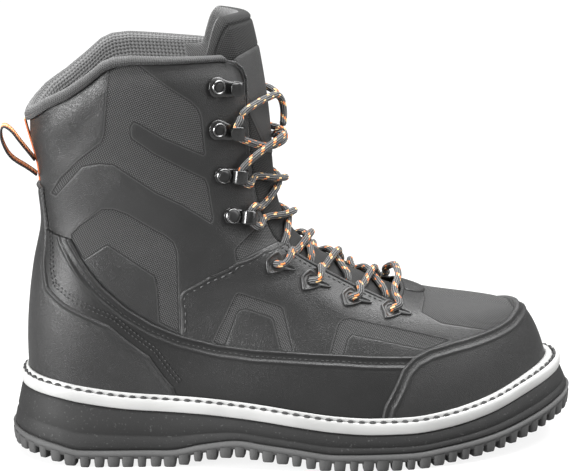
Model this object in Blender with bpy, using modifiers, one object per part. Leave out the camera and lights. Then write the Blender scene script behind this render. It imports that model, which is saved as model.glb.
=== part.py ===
"""Wading boot for the right foot, standing on its lugs.

X runs from heel to toe, Y to the inner (medial) side, Z up. The origin is on the floor,
at the middle of the heel lug under the heel's centre. All sizes are in metres.
"""
import math

import bmesh
import bpy
import numpy as np
from mathutils import Matrix, Vector

# Driving dimensions
LAST_LENGTH = 0.297
BALL_WIDTH = 0.100
UPPER_HEIGHT = 0.200
HEEL_HEIGHT = 0.0395
HEEL_BACK = -0.032

UPPER_WALL = 0.0024
OVERLAY_WALL = 0.0027
RAND_WALL = 0.0013
INSOLE_THICKNESS = 0.004
GAP = 0.0003

OUTSOLE_BASE = 0.0045
LUG_HEIGHT = 0.005
LUG_LENGTH = 0.0095
LUG_WIDTH = 0.009
LUG_PITCH = 0.0196
LUG_ROW_PITCH = 0.0260
LUG_SINK = 0.0015
LUG_INSET = 0.0008
EDGE_ROUND = 0.0012
WELT_HEIGHT = 0.0088
WELT_REACH = 0.0076
TOE_REACH = 0.0020
SIDE_FLARE = 0.0022
END_FLARE = 0.0033

COLLAR_DEPTH = 0.046
COLLAR_PADDING = 0.0062
COLLAR_ROLL = 0.0048
TONGUE_THICKNESS = 0.0048
TONGUE_PADDING = 0.0065

LACE_DIAMETER = 0.0044
LACE_ARCH = 0.0045
LACE_LIFT = 0.0010
LACE_INSIDE = 0.014  # Share of a ring from the flap's edge to a lace's end
EYELET_DIAMETER = 0.0052
TAB_RADIUS = 0.0064
TAB_SLOPE = 0.0007
TAB_TAIL = 0.0115
TAB_THICKNESS = 0.0011
HOOK_PLATE = 0.0010
HOOK_WIDTH = 0.0078
HOOK_LENGTH = 0.0141
HOOK_RISE = 0.0062
RIVET_RADIUS = 0.0036
RIVET_HEIGHT = 0.0022
STRAP_WIDTH = 0.0115
STRAP_THICKNESS = 0.0018

COLUMNS = 40
COLLAR_COLUMNS = round(0.364 * COLUMNS)
ROWS = (0.02, 0.7, 1.4, 2, 2.5, 3, 3.5, 4, 4.5, 5, 5.5, 6, 6.5, 7, 7.75, 8.5, 9.5, 10.5)

# Rings of the last from the feather edge up. back and front are shares of LAST_LENGTH from the
# heel, their rises shares of UPPER_HEIGHT over the sole, bow is how much the ring follows the
# sole's curve, and tip is the sideways place of its front end, a share of BALL_WIDTH.
LEVEL_NAMES = ("back", "rise_back", "front", "rise_front", "bow", "tip")
LEVELS = (
    (0.000, 0.0000, 1.000, 0.0000, 1.00, 0.13),
    (-0.003, 0.0770, 0.985, 0.0850, 0.85, 0.13),
    (-0.002, 0.1770, 0.960, 0.1640, 0.60, 0.12),
    (0.005, 0.2875, 0.912, 0.2160, 0.40, 0.08),
    (0.015, 0.3825, 0.815, 0.2350, 0.20, 0.04),
    (0.0236, 0.4725, 0.687, 0.2825, 0.05, 0.01),
    (0.020, 0.5525, 0.5556, 0.380, 0.00, 0.00),
    (0.015, 0.6375, 0.485, 0.5075, 0.00, 0.00),
    (-0.003, 0.7425, 0.468, 0.7025, 0.00, 0.00),
    (-0.0185, 0.8625, 0.4545, 0.8775, 0.00, 0.00),
    (-0.027, 0.9825, 0.434, 1.0325, 0.00, 0.00),
    (-0.030, 1.0625, 0.414, 1.1125, 0.00, 0.00),
)
# Half widths of the same rings as shares of BALL_WIDTH, at five stations from heel to toe,
# on the outer (lateral) and the inner (medial) side.
LATERAL = (
    (0.300, 0.365, 0.500, 0.485, 0.200),
    (0.310, 0.380, 0.515, 0.505, 0.215),
    (0.315, 0.375, 0.460, 0.465, 0.220),
    (0.300, 0.365, 0.405, 0.395, 0.210),
    (0.280, 0.360, 0.380, 0.345, 0.195),
    (0.265, 0.360, 0.375, 0.310, 0.180),
    (0.240, 0.350, 0.375, 0.330, 0.185),
    (0.240, 0.360, 0.390, 0.330, 0.175),
    (0.240, 0.380, 0.420, 0.350, 0.180),
    (0.250, 0.405, 0.450, 0.370, 0.190),
    (0.250, 0.410, 0.455, 0.375, 0.190),
    (0.250, 0.410, 0.455, 0.375, 0.190),
)
MEDIAL = (
    (0.300, 0.315, 0.375, 0.490, 0.415),
    (0.310, 0.345, 0.395, 0.510, 0.420),
    (0.315, 0.360, 0.410, 0.465, 0.390),
    (0.300, 0.355, 0.385, 0.400, 0.310),
    (0.280, 0.350, 0.370, 0.345, 0.220),
    (0.265, 0.350, 0.370, 0.310, 0.185),
    (0.240, 0.345, 0.370, 0.330, 0.185),
    (0.240, 0.355, 0.385, 0.330, 0.175),
    (0.240, 0.380, 0.415, 0.350, 0.180),
    (0.250, 0.405, 0.445, 0.370, 0.190),
    (0.250, 0.410, 0.450, 0.375, 0.190),
    (0.250, 0.410, 0.450, 0.375, 0.190),
)

# Side profile of the sole: place as a share of LAST_LENGTH from the heel, top of the midsole as a
# share of HEEL_HEIGHT, and rise of the outsole's base over its flat spots in the same shares.
SOLE_PROFILE = (
    (-0.05, 1.033, 0.163),
    (0.04, 0.985, 0.066),
    (0.085, 0.933, 0.0),
    (0.19, 0.830, 0.0),
    (0.25, 0.805, 0.0),
    (0.32, 0.780, 0.108),
    (0.385, 0.742, 0.178),
    (0.43, 0.705, 0.135),
    (0.49, 0.640, 0.079),
    (0.57, 0.560, 0.002),
    (0.64, 0.522, 0.0),
    (0.71, 0.517, 0.0),
    (0.78, 0.560, 0.049),
    (0.87, 0.680, 0.128),
    (0.95, 0.860, 0.258),
    (1.06, 1.080, 0.498),
)

# Edges seen from the side: shares of LAST_LENGTH from the heel and of UPPER_HEIGHT over HEEL_HEIGHT.
COLLAR_EDGE = (
    (-0.20, 0.765), (-0.008, 0.765), (0.034, 0.820), (0.074, 0.855), (0.109, 0.894), (0.140, 0.934),
    (0.160, 0.948), (0.193, 0.955), (0.252, 0.954), (0.319, 0.953), (0.362, 0.950),
    (0.389, 0.937), (0.402, 0.918),
)
THROAT_EDGE = (
    (0.409, 0.890), (0.409, 0.773), (0.413, 0.663), (0.428, 0.534), (0.448, 0.472),
    (0.465, 0.433), (0.490, 0.399), (0.549, 0.343), (0.603, 0.299), (0.677, 0.248), (0.700, 0.245),
    (0.710, 0.262),
)
RAND_EDGE = (
    (0.012, 0.565), (0.041, 0.527), (0.063, 0.458), (0.101, 0.358), (0.129, 0.310),
    (0.203, 0.229), (0.259, 0.191), (0.362, 0.156), (0.474, 0.132), (0.559, 0.126), (0.70, 0.124),
    (0.86, 0.125),
)
COUNTER_EDGE = (
    (0.027, 0.580), (0.033, 0.488), (0.033, 0.349), (0.038, 0.302), (0.065, 0.268),
    (0.146, 0.211), (0.220, 0.121), (0.266, 0.030), (0.287, -0.15),
)
CAP_EDGE = (
    (0.63, -0.15), (0.649, -0.053), (0.675, 0.032), (0.700, 0.093), (0.723, 0.121), (0.829, 0.146),
    (0.891, 0.153), (0.930, 0.170), (0.942, 0.195), (0.925, 0.225), (0.915, 0.30),
)

# Places on the outer side, seen from the side, in the same shares as the edges.
EYELETS = ((0.680, 0.232), (0.604, 0.268), (0.527, 0.318), (0.460, 0.372))
LOCK_HOOKS = ((0.377, 0.512), (0.360, 0.629))
SPEED_HOOKS = ((0.352, 0.760), (0.351, 0.879))

# Pull loop seen from the side, from its lower to its upper seam on the back of the shaft.
PULL_LOOP = (
    (-0.0283, 0.1605), (-0.0340, 0.1648), (-0.0428, 0.1712), (-0.0466, 0.1780), (-0.0478, 0.1845),
    (-0.0464, 0.1884), (-0.0430, 0.1868), (-0.0392, 0.1822), (-0.0350, 0.1765), (-0.0293, 0.1690),
)

# Free lace over the last crossing: from the outer hook over the front and down to the crossing,
# and from the inner hook up to the outer one.
LOOP_OUTER = (
    (0.0855, -0.0320, 0.1985), (0.0885, -0.0294, 0.2010), (0.0930, -0.0250, 0.2030),
    (0.0980, -0.0185, 0.2045), (0.1030, -0.0110, 0.2050), (0.1070, -0.0035, 0.2045),
    (0.1100, 0.0010, 0.2010), (0.1112, 0.0010, 0.1960), (0.1112, 0.0000, 0.1905),
    (0.1105, -0.0030, 0.1865),
)
LOOP_INNER = (
    (0.0855, 0.0320, 0.1985), (0.0885, 0.0294, 0.2010), (0.0930, 0.0250, 0.2035),
    (0.0980, 0.0185, 0.2055), (0.1040, 0.0110, 0.2058), (0.1085, 0.0062, 0.2030),
)


def pchip(knots, values, at):
    """Smooth line through points that never overshoots them."""
    knots, values, at = (np.asarray(item, float) for item in (knots, values, at))
    widths = np.diff(knots)
    rates = np.diff(values) / widths
    slopes = np.zeros_like(values)
    slopes[0], slopes[-1] = rates[0], rates[-1]
    same = rates[:-1] * rates[1:] > 0
    mean = np.zeros(len(rates) - 1)
    mean[same] = 2 / (1 / rates[:-1][same] + 1 / rates[1:][same])
    slopes[1:-1] = mean
    cell = np.clip(np.searchsorted(knots, at, side="right") - 1, 0, len(widths) - 1)
    width = widths[cell]
    t = (at - knots[cell]) / width
    return (
        values[cell] * (1 + 2 * t) * (1 - t) ** 2
        + values[cell + 1] * t * t * (3 - 2 * t)
        + width * slopes[cell] * t * (1 - t) ** 2
        + width * slopes[cell + 1] * t * t * (t - 1)
    )


def spline_weights(knots, at):
    """Natural cubic spline: how much of each knot's value counts at each place asked for."""
    knots, at = np.asarray(knots, float), np.asarray(at, float)
    count = len(knots)
    gaps = np.diff(knots)
    system, right = np.eye(count), np.zeros((count, count))
    for i in range(1, count - 1):
        system[i, i - 1:i + 2] = gaps[i - 1], 2 * (gaps[i - 1] + gaps[i]), gaps[i]
        right[i, i - 1:i + 2] = 6 / gaps[i - 1], -6 / gaps[i - 1] - 6 / gaps[i], 6 / gaps[i]
    bend = np.linalg.solve(system, right)
    cell = np.clip(np.searchsorted(knots, at, side="right") - 1, 0, count - 2)
    gap = gaps[cell]
    a = (knots[cell + 1] - at) / gap
    b = 1 - a
    unit = np.eye(count)
    return (
        a[:, None] * unit[cell] + b[:, None] * unit[cell + 1]
        + ((a ** 3 - a) * gap ** 2 / 6)[:, None] * bend[cell]
        + ((b ** 3 - b) * gap ** 2 / 6)[:, None] * bend[cell + 1]
    )


def ring_weights(s):
    """The same for the twelve stations round a ring, closed on itself."""
    wrapped = spline_weights(np.arange(-6, 19) / 12, np.mod(s, 1.0))
    weights = np.zeros((len(wrapped), 12))
    for column, station in enumerate(range(-6, 19)):
        weights[:, station % 12] += wrapped[:, column]
    return weights


def sole_top(x):
    share = (x - HEEL_BACK) / LAST_LENGTH
    rows = np.array(SOLE_PROFILE)
    return HEEL_HEIGHT * pchip(rows[:, 0], rows[:, 1], share)


def sole_base(x):
    share = (x - HEEL_BACK) / LAST_LENGTH
    rows = np.array(SOLE_PROFILE)
    return LUG_HEIGHT + HEEL_HEIGHT * pchip(rows[:, 0], rows[:, 2], share)


def last_point(s, v):
    """Point of the last: s runs round the ring from the heel by the outer side, v is the ring."""
    s, v = (item.ravel() for item in np.broadcast_arrays(np.asarray(s, float), np.asarray(v, float)))
    by_level = spline_weights(np.arange(len(LEVELS)), v)
    ring = dict(zip(LEVEL_NAMES, (by_level @ np.array(LEVELS)).T))
    left, right = by_level @ np.array(LATERAL), by_level @ np.array(MEDIAL)
    zero = np.zeros((len(v), 1))
    round_ring = np.hstack([zero, -left, ring["tip"][:, None], right[:, ::-1]])
    along = (1 - np.cos(2 * np.pi * s)) / 2
    x = HEEL_BACK + LAST_LENGTH * (ring["back"] + (ring["front"] - ring["back"]) * along)
    y = BALL_WIDTH * np.sum(ring_weights(s) * round_ring, axis=1)
    rise = ring["rise_back"] + (ring["rise_front"] - ring["rise_back"]) * along
    z = ring["bow"] * sole_top(x) + (1 - ring["bow"]) * HEEL_HEIGHT + UPPER_HEIGHT * rise
    return np.column_stack([x, y, z])


def last_normal(s, v):
    step_s, step_v = 1e-3, 1e-2
    along = last_point(s + step_s, v) - last_point(s - step_s, v)
    up = last_point(s, v + step_v) - last_point(s, v - step_v)
    normal = np.cross(along, up)
    return normal / np.linalg.norm(normal, axis=1)[:, None]


def last(s, v, offset=0.0):
    """Point at a distance outside the last."""
    s, v, offset = (
        item.ravel() for item in np.broadcast_arrays(*(np.asarray(i, float) for i in (s, v, offset)))
    )
    return last_point(s, v) + last_normal(s, v) * offset[:, None]


def side_place(edge):
    """World x and z of places given in shares."""
    shares = np.array(edge, float)
    return (
        HEEL_BACK + LAST_LENGTH * shares[:, 0],
        HEEL_HEIGHT + UPPER_HEIGHT * shares[:, 1],
    )


def on_last(edge):
    """Ring places s and v of places given in shares, on the outer side."""
    found = []
    levels = np.linspace(0, len(LEVELS) - 1, 221)
    table = spline_weights(np.arange(len(LEVELS)), levels) @ np.array(LEVELS)
    back, rise_back, front, rise_front, bow, _ = table.T
    for x, z in zip(*side_place(edge)):
        along = np.clip(((x - HEEL_BACK) / LAST_LENGTH - back) / (front - back), 0, 1)
        rise = rise_back + (rise_front - rise_back) * along
        height = bow * sole_top(x) + (1 - bow) * HEEL_HEIGHT + UPPER_HEIGHT * rise
        level = np.interp(z, height, levels)
        share = np.interp(level, levels, along)
        found.append((math.acos(1 - 2 * share) / (2 * math.pi), level))
    return found


def level_at(s, edge, offset=0.0):
    """For each s, the level v where the last, or a surface beside it, reaches an edge."""
    edge_x, edge_z = side_place(edge)
    levels = np.linspace(0, len(LEVELS) - 1, 221)
    found = []
    for place in np.atleast_1d(s):
        points = last(np.full_like(levels, place), levels, offset)
        over = points[:, 2] - np.interp(points[:, 0], edge_x, edge_z)
        found.append(np.interp(0, over, levels))
    return np.array(found)


def clear_scene():
    for item in list(bpy.data.objects):
        bpy.data.objects.remove(item, do_unlink=True)


def make_collection(name):
    collection = bpy.data.collections.new(name)
    bpy.context.scene.collection.children.link(collection)
    return collection


def make_material(name, color, roughness, metallic=0.0):
    material = bpy.data.materials.new(name)
    material.use_nodes = True
    shader = material.node_tree.nodes["Principled BSDF"]
    shader.inputs["Base Color"].default_value = (*color, 1.0)
    shader.inputs["Roughness"].default_value = roughness
    shader.inputs["Metallic"].default_value = metallic
    material.diffuse_color = (*color, 1.0)
    return material


def mesh_object(name, points, faces, material, collection):
    mesh = bpy.data.meshes.new(name)
    mesh.from_pydata([tuple(point) for point in points], [], faces)
    mesh.materials.append(material)
    mesh.shade_smooth()
    mesh.set_sharp_from_angle(angle=math.radians(35))
    piece = bpy.data.objects.new(name, mesh)
    collection.objects.link(piece)
    return piece


def strip_faces(rows, columns, closed, turned=False):
    """Triangles between the points of a grid, row after row, split on either diagonal."""
    faces = []
    for row in range(rows - 1):
        for column in range(columns if closed else columns - 1):
            after = (column + 1) % columns
            low, high = row * columns, (row + 1) * columns
            if turned:
                faces.append((low + column, low + after, high + column))
                faces.append((low + after, high + after, high + column))
            else:
                faces.append((low + column, low + after, high + after))
                faces.append((low + column, high + after, high + column))
    return faces


def last_shell(name, offset, wall, levels, columns, closed, material, collection):
    """Open surface at a distance from the last, thickened outwards by its wall."""
    s, v = np.meshgrid(columns, levels)
    points = last(s, v, offset)
    faces = strip_faces(len(levels), len(columns), closed)
    piece = mesh_object(name, points, faces, material, collection)
    solid = piece.modifiers.new("wall", "SOLIDIFY")
    solid.thickness = wall
    solid.offset = 1.0
    solid.use_even_offset = True
    return piece


def cutting_prism(name, outline, half_width, collection):
    """Slab with a given outline in the side view, standing across the boot."""
    form = bmesh.new()
    front = [form.verts.new((x, -half_width, z)) for x, z in outline]
    face = form.faces.new(front)
    swept = bmesh.ops.extrude_face_region(form, geom=[face])
    moved = [item for item in swept["geom"] if isinstance(item, bmesh.types.BMVert)]
    bmesh.ops.translate(form, verts=moved, vec=(0, 2 * half_width, 0))
    bmesh.ops.recalc_face_normals(form, faces=form.faces)
    mesh = bpy.data.meshes.new(name)
    form.to_mesh(mesh)
    form.free()
    return hide_cutter(bpy.data.objects.new(name, mesh), collection)


def hide_cutter(piece, collection):
    collection.objects.link(piece)
    piece.hide_render = True
    piece.display_type = "WIRE"
    return piece


def combine(piece, other, operation):
    modifier = piece.modifiers.new(other.name, "BOOLEAN")
    modifier.operation = operation
    modifier.object = other
    modifier.solver = "EXACT"
    return piece


def loft(name, sections, material, collection, closed=False, turned=False):
    """Skin over equal sections, one after the other, with flat ends or closed on itself."""
    count, width = len(sections), len(sections[0])
    points = np.vstack(sections)
    faces = strip_faces(count, width, True, turned)
    if closed:
        last_row = (count - 1) * width
        for column in range(width):
            after = (column + 1) % width
            faces.append((last_row + column, last_row + after, after))
            faces.append((last_row + column, after, column))
    else:
        faces.append(tuple(range(width))[::-1])
        faces.append(tuple((count - 1) * width + column for column in range(width)))
    return mesh_object(name, points, faces, material, collection)


def ladder(width):
    """Faces across a ring of points that is the same on both sides of its ends."""
    half = width // 2
    faces = [(0, 1, width - 1), (half - 1, half, half + 1)]
    for step in range(1, half - 1):
        faces.append((step, step + 1, width - step))
        faces.append((step + 1, width - step - 1, width - step))
    return faces


def ring_stack(name, rings, material, collection):
    """Solid over rings of points from bottom to top, closed across its first and last ring."""
    width = len(rings[0])
    points = np.vstack(rings)
    faces = strip_faces(len(rings), width, True)
    top = (len(rings) - 1) * width
    faces += [face[::-1] for face in ladder(width)]
    faces += [tuple(top + corner for corner in face) for face in ladder(width)]
    return mesh_object(name, points, faces, material, collection)


def around():
    return np.arange(COLUMNS) / COLUMNS


def foot_outline(s, reach):
    """Feather edge of the last, moved out in the floor's plane."""
    step = 1e-3
    points = last_point(s, 0.0)
    along = last_point(s + step, 0.0) - last_point(s - step, 0.0)
    out = np.column_stack([along[:, 1], -along[:, 0], np.zeros(len(along))])
    out /= np.linalg.norm(out, axis=1)[:, None]
    return points + out * np.reshape(reach, (-1, 1))


def toe_share(s):
    return np.clip(-np.cos(2 * np.pi * s), 0, 1) ** 2


def end_share(s):
    return np.abs(np.cos(2 * np.pi * s)) ** 3


def welt_reach(s):
    return WELT_REACH + TOE_REACH * toe_share(s)


def tread_reach(s):
    return welt_reach(s) + SIDE_FLARE + END_FLARE * end_share(s)


def at_height(points, heights):
    placed = points.copy()
    placed[:, 2] = heights
    return placed


def build_outsole(parts, cutters):
    rubber = make_material("outsole_rubber", (0.10, 0.10, 0.10), 0.75)
    s = around()
    edge = foot_outline(s, tread_reach(s))
    inner = foot_outline(s, tread_reach(s) - EDGE_ROUND)
    low = sole_base(edge[:, 0])
    rings = [
        at_height(inner, sole_base(inner[:, 0])),
        at_height(edge, low + EDGE_ROUND),
        at_height(edge, low + OUTSOLE_BASE - EDGE_ROUND / 2),
        at_height(inner, sole_base(inner[:, 0]) + OUTSOLE_BASE),
    ]
    outsole = ring_stack("outsole", rings, rubber, parts)
    lugs = build_lugs(rubber, cutters)
    return combine(outsole, lugs, "UNION")


def lug_places():
    """Middle, direction and size of every lug: one under the heel, a row along the edge, and pairs."""
    places = [((0.0, 0.0), (1.0, 0.0), LUG_LENGTH * 1.5, LUG_WIDTH * 1.5)]
    fine = np.linspace(0, 1, 721)
    inset = foot_outline(fine, tread_reach(fine) - LUG_WIDTH / 2 - LUG_INSET)
    steps = np.linalg.norm(np.diff(inset[:, :2], axis=0), axis=1)
    walked = np.concatenate([[0], np.cumsum(steps)])
    count = round(walked[-1] / LUG_PITCH)
    for index in range(count):
        place = np.interp((index + 0.5) * walked[-1] / count, walked, fine)
        reach = tread_reach(np.array([place] * 2)) - LUG_WIDTH / 2 - LUG_INSET
        point, ahead = foot_outline(np.array([place, place + 1e-3]), reach)
        along = (ahead - point)[:2]
        along /= np.linalg.norm(along)
        places.append((tuple(point[:2]), tuple(along), LUG_LENGTH, LUG_WIDTH))
    rows = int((LAST_LENGTH - 0.060) / LUG_ROW_PITCH)
    for row in range(rows):
        x = LUG_ROW_PITCH * (row + 0.9)
        side = np.array([np.interp(x, inset[:361, 0], inset[:361, 1]),
                         np.interp(x, inset[:359:-1, 0], inset[:359:-1, 1])])
        for share in (0.33, 0.67):
            y = side[0] + (side[1] - side[0]) * share
            slant = 0.5 if share < 0.5 else -0.5
            places.append(((x, y), (math.cos(slant), math.sin(slant)), LUG_LENGTH, LUG_WIDTH))
    return places


def build_lugs(material, cutters):
    form = bmesh.new()
    for (x, y), (ahead_x, ahead_y), length, width in lug_places():
        made = bmesh.ops.create_cube(form, size=1.0)
        for vert in made["verts"]:
            shrink = 0.86 if vert.co.z < 0 else 1.0
            a, b = vert.co.x * length * shrink, vert.co.y * width * shrink
            place_x = x + a * ahead_x - b * ahead_y
            place_y = y + a * ahead_y + b * ahead_x
            base = float(sole_base(np.array([place_x]))[0])
            lift = LUG_SINK if vert.co.z > 0 else -LUG_HEIGHT
            vert.co = (place_x, place_y, base + lift)
    mesh = bpy.data.meshes.new("lugs")
    form.to_mesh(mesh)
    form.free()
    mesh.materials.append(material)
    return hide_cutter(bpy.data.objects.new("lugs", mesh), cutters)


def build_midsole(parts):
    foam = make_material("midsole_foam", (0.022, 0.022, 0.023), 0.85)
    s = around()
    low = foot_outline(s, tread_reach(s) - 3 * GAP)
    middle = foot_outline(s, (tread_reach(s) + welt_reach(s)) / 2 - 3 * GAP)
    high = foot_outline(s, welt_reach(s) - 2 * GAP)
    low_z = sole_base(low[:, 0]) + OUTSOLE_BASE + GAP
    high_z = sole_top(high[:, 0]) - GAP
    middle_z = (sole_base(middle[:, 0]) + OUTSOLE_BASE + sole_top(middle[:, 0])) / 2
    rings = [at_height(low, low_z), at_height(middle, middle_z), at_height(high, high_z)]
    return ring_stack("midsole", rings, foam, parts)


def build_welt(parts):
    """Strip between the upper's overlays and the sole's edge, with its stitch groove on top."""
    rubber = make_material("welt_rubber", (0.78, 0.78, 0.77), 0.45)
    s = around()
    stack = OVERLAY_WALL + 2 * GAP
    low_level, high_level = 0.0, 0.52
    inner_low = last(s, low_level, stack)
    inner_high = last(s, high_level, stack)
    outer = foot_outline(s, welt_reach(s))
    # Each row: share of the way out from the overlays, share of the height.
    profile = ((0.0, 0.0), (0.97, 0.0), (1.0, 0.42), (0.84, 0.64), (0.56, 0.62), (0.42, 0.86),
               (0.20, 1.0), (0.0, 1.0))
    sections = []
    for index in range(COLUMNS):
        section = []
        for out, up in profile:
            inside = inner_low[index] + (inner_high[index] - inner_low[index]) * up
            point = inside + (outer[index] - inside) * out
            floor = sole_top(np.array([point[0]]))[0] + GAP
            section.append((point[0], point[1], floor + WELT_HEIGHT * up))
        sections.append(np.array(section[::-1]))
    return loft("welt", sections, rubber, parts, closed=True)


def build_insole(parts):
    board = make_material("insole_board", (0.05, 0.05, 0.052), 0.9)
    s = around()
    inset = -UPPER_WALL - 3 * GAP
    low, high = last(s, 0.06, inset), last(s, 0.30, inset)
    floor = sole_top(low[:, 0]) + GAP
    rings = [at_height(low, floor), at_height(high, sole_top(high[:, 0]) + GAP + INSOLE_THICKNESS)]
    return ring_stack("insole", rings, board, parts)


def opening_outline():
    """Side view of what is cut away over the collar and in front of the throat."""
    columns = np.arange(COLLAR_COLUMNS + 1) / COLUMNS
    rim = last_point(columns, level_at(columns, COLLAR_EDGE))[:, ::2]
    behind = [(rim[0][0] - 0.05, rim[0][1])]
    corner = np.column_stack(side_place(COLLAR_EDGE[-3:]))
    collar = np.vstack([behind, rim, corner[corner[:, 0] > rim[-1][0]]])
    throat = np.column_stack(side_place(THROAT_EDGE))
    top = HEEL_HEIGHT + UPPER_HEIGHT * 1.3
    ahead = HEEL_BACK + LAST_LENGTH * 0.95
    return [tuple(point) for point in collar] + [tuple(point) for point in throat] + [
        (ahead, throat[-1][1] + 0.02), (ahead, top), (collar[0][0], top)]


def build_upper(parts, cutters):
    leather = make_material("upper_leather", (0.045, 0.046, 0.049), 0.55)
    upper = last_shell("upper", -UPPER_WALL, UPPER_WALL, ROWS, around(), True, leather, parts)
    combine(upper, cutting_prism("opening_cutter", opening_outline(), BALL_WIDTH, cutters), "DIFFERENCE")
    return combine(upper, build_eyelet_drills(cutters), "DIFFERENCE")


def both_sides(places):
    """Ring places of the outer side and, mirrored, of the inner side."""
    found = on_last(places)
    return [(s, v) for s, v in found], [(1 - s, v) for s, v in found]


def lace_frame(s, v, side, offset):
    """Frame on the upper: X towards the throat, Z outwards, Y along the flap."""
    centre = Vector(last(s, v, offset)[0])
    normal = Vector(last_normal(np.array([s]), np.array([v]))[0])
    ahead = Vector((last_point(s + side * 2e-3, v) - last_point(s, v))[0])
    ahead = (ahead - normal * ahead.dot(normal)).normalized()
    frame = Matrix((ahead, normal.cross(ahead), normal)).transposed().to_4x4()
    frame.translation = centre
    return frame


def surface_patch(s, v, side, ahead, along, offset):
    """Points of the upper a way ahead to the throat and along the flap from a place."""
    frame = lace_frame(s, v, side, 0.0)
    step = 1e-3
    by_s = Vector((last_point(s + step, v) - last_point(s, v))[0]) / step
    by_v = Vector((last_point(s, v + step) - last_point(s, v))[0]) / step
    axes = [Vector(frame.col[index][:3]) for index in (0, 1)]
    slopes = np.array([[by_s.dot(axes[0]), by_v.dot(axes[0])], [by_s.dot(axes[1]), by_v.dot(axes[1])]])
    moves = np.linalg.solve(slopes, np.vstack([ahead, along]))
    return last(s + moves[0], v + moves[1], offset)


def build_eyelet_drills(cutters):
    form = bmesh.new()
    outer, inner = both_sides(EYELETS)
    for side, places in ((1, outer), (-1, inner)):
        for s, v in places:
            bmesh.ops.create_cone(
                form, cap_ends=True, segments=8, radius1=EYELET_DIAMETER / 2,
                radius2=EYELET_DIAMETER / 2, depth=0.012, matrix=lace_frame(s, v, side, 0.0),
            )
    mesh = bpy.data.meshes.new("eyelet_drills")
    form.to_mesh(mesh)
    form.free()
    return hide_cutter(bpy.data.objects.new("eyelet_drills", mesh), cutters)


def under_edge(edge):
    """Side view of the area under an edge."""
    x, z = side_place(edge)
    floor, ahead, behind = -0.05, x[-1] + 0.10, x[0] - 0.08
    return list(zip(x, z)) + [(ahead, z[-1]), (ahead, floor), (behind, floor), (behind, z[0])]


def beyond_edge(edge, far):
    """Side view of the area between an edge and a far place ahead of it or behind it."""
    x, z = side_place(edge)
    return list(zip(x, z)) + [(far, z[-1]), (far, z[0])]


def widened(edge, step):
    """The same edge moved along X by a distance."""
    return [(share + step / LAST_LENGTH, height) for share, height in edge]


def build_overlays(parts, cutters):
    """Counter and cap over the foot, and the rand between them on either side."""
    rubber = make_material("rand_rubber", (0.040, 0.040, 0.043), 0.5)
    cap_leather = make_material("cap_leather", (0.050, 0.051, 0.054), 0.5)
    foot_rows = [row for row in ROWS if row <= 7.75]
    toe_rows = [row for row in ROWS if row <= 5]
    far_back, far_ahead = HEEL_BACK - LAST_LENGTH, HEEL_BACK + 2 * LAST_LENGTH
    gap_behind, gap_ahead = widened(COUNTER_EDGE, 2 * GAP), widened(CAP_EDGE, -2 * GAP)
    under_rand, behind, ahead, behind_rand, ahead_rand = (
        cutting_prism(name, region, BALL_WIDTH, cutters)
        for name, region in (
            ("rand_cutter", under_edge(RAND_EDGE)),
            ("counter_cutter", beyond_edge(COUNTER_EDGE, far_back)),
            ("cap_cutter", beyond_edge(CAP_EDGE, far_ahead)),
            ("counter_gap_cutter", beyond_edge(gap_behind, far_back)),
            ("cap_gap_cutter", beyond_edge(gap_ahead, far_ahead)),
        )
    )
    back_end, rand_end, cap_start = (round(share * COLUMNS) for share in (0.205, 0.386, 0.272))
    for name, side in (("rand_outer", 1), ("rand_inner", -1)):
        columns = side * np.arange(1, rand_end + 1) / COLUMNS
        rand = last_shell(name, GAP, RAND_WALL, foot_rows, columns[::side], False, rubber, parts)
        combine(rand, under_rand, "INTERSECT")
        combine(rand, behind_rand, "DIFFERENCE")
        combine(rand, ahead_rand, "DIFFERENCE")
    back = np.arange(-back_end, back_end + 1) / COLUMNS
    counter = last_shell(
        "heel_counter", GAP, OVERLAY_WALL, foot_rows, back, False, cap_leather, parts)
    combine(counter, behind, "INTERSECT")
    front = np.arange(cap_start, COLUMNS - cap_start + 1) / COLUMNS
    cap = last_shell("toe_cap", GAP, OVERLAY_WALL, toe_rows, front, False, cap_leather, parts)
    combine(cap, ahead, "INTERSECT")


def padding_share(s):
    """One where the collar is fully padded, falling to nothing at its front ends."""
    distance = np.minimum(np.mod(s, 1.0), 1 - np.mod(s, 1.0))
    t = np.clip((0.372 - distance) / 0.07, 0, 1)
    return t * t * (3 - 2 * t)


def build_collar(parts):
    """Padded band inside the shaft with a roll over the collar's edge."""
    lining = make_material("collar_lining", (0.035, 0.036, 0.040), 0.9)
    # Each row: share of the padding inwards, and the height over the edge, in metres.
    inward = (0.0, 0.0, 0.20, 0.55, 0.93, 1.0, 1.0, 0.85, 0.12, 0.0, 0.0)
    height = (2 * GAP, 0.0022, 0.0042, COLLAR_ROLL, 0.0024, -0.005, -0.020, -0.038,
              -COLLAR_DEPTH, -0.036, -0.018)
    bare = UPPER_WALL + 3 * GAP
    sections = []
    for s in np.arange(-COLLAR_COLUMNS, COLLAR_COLUMNS + 1) / COLUMNS:
        rim = level_at(np.mod(s, 1.0), COLLAR_EDGE)[0]
        rim_inside = level_at(np.mod(s, 1.0), COLLAR_EDGE, -bare)[0]
        climb = np.linalg.norm(last_point(s, rim) - last_point(s, rim - 1))
        full = COLLAR_PADDING * (0.35 + 0.65 * padding_share(s))
        section = []
        for share, up in zip(inward, height):
            slack = 2 * GAP * min(1, max(0, -up / 0.018))
            depth = share * (full + bare) if up > 0 else bare + slack + share * full
            edge = rim + (rim_inside - rim) * min(1, depth / bare)
            section.append(last(s, edge + up / climb, -depth)[0])
        section.append(last(s, rim_inside + 2 * GAP / climb, -bare)[0])
        sections.append(np.array(section[::-1]))
    return loft("collar", sections, lining, parts, turned=True)


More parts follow.
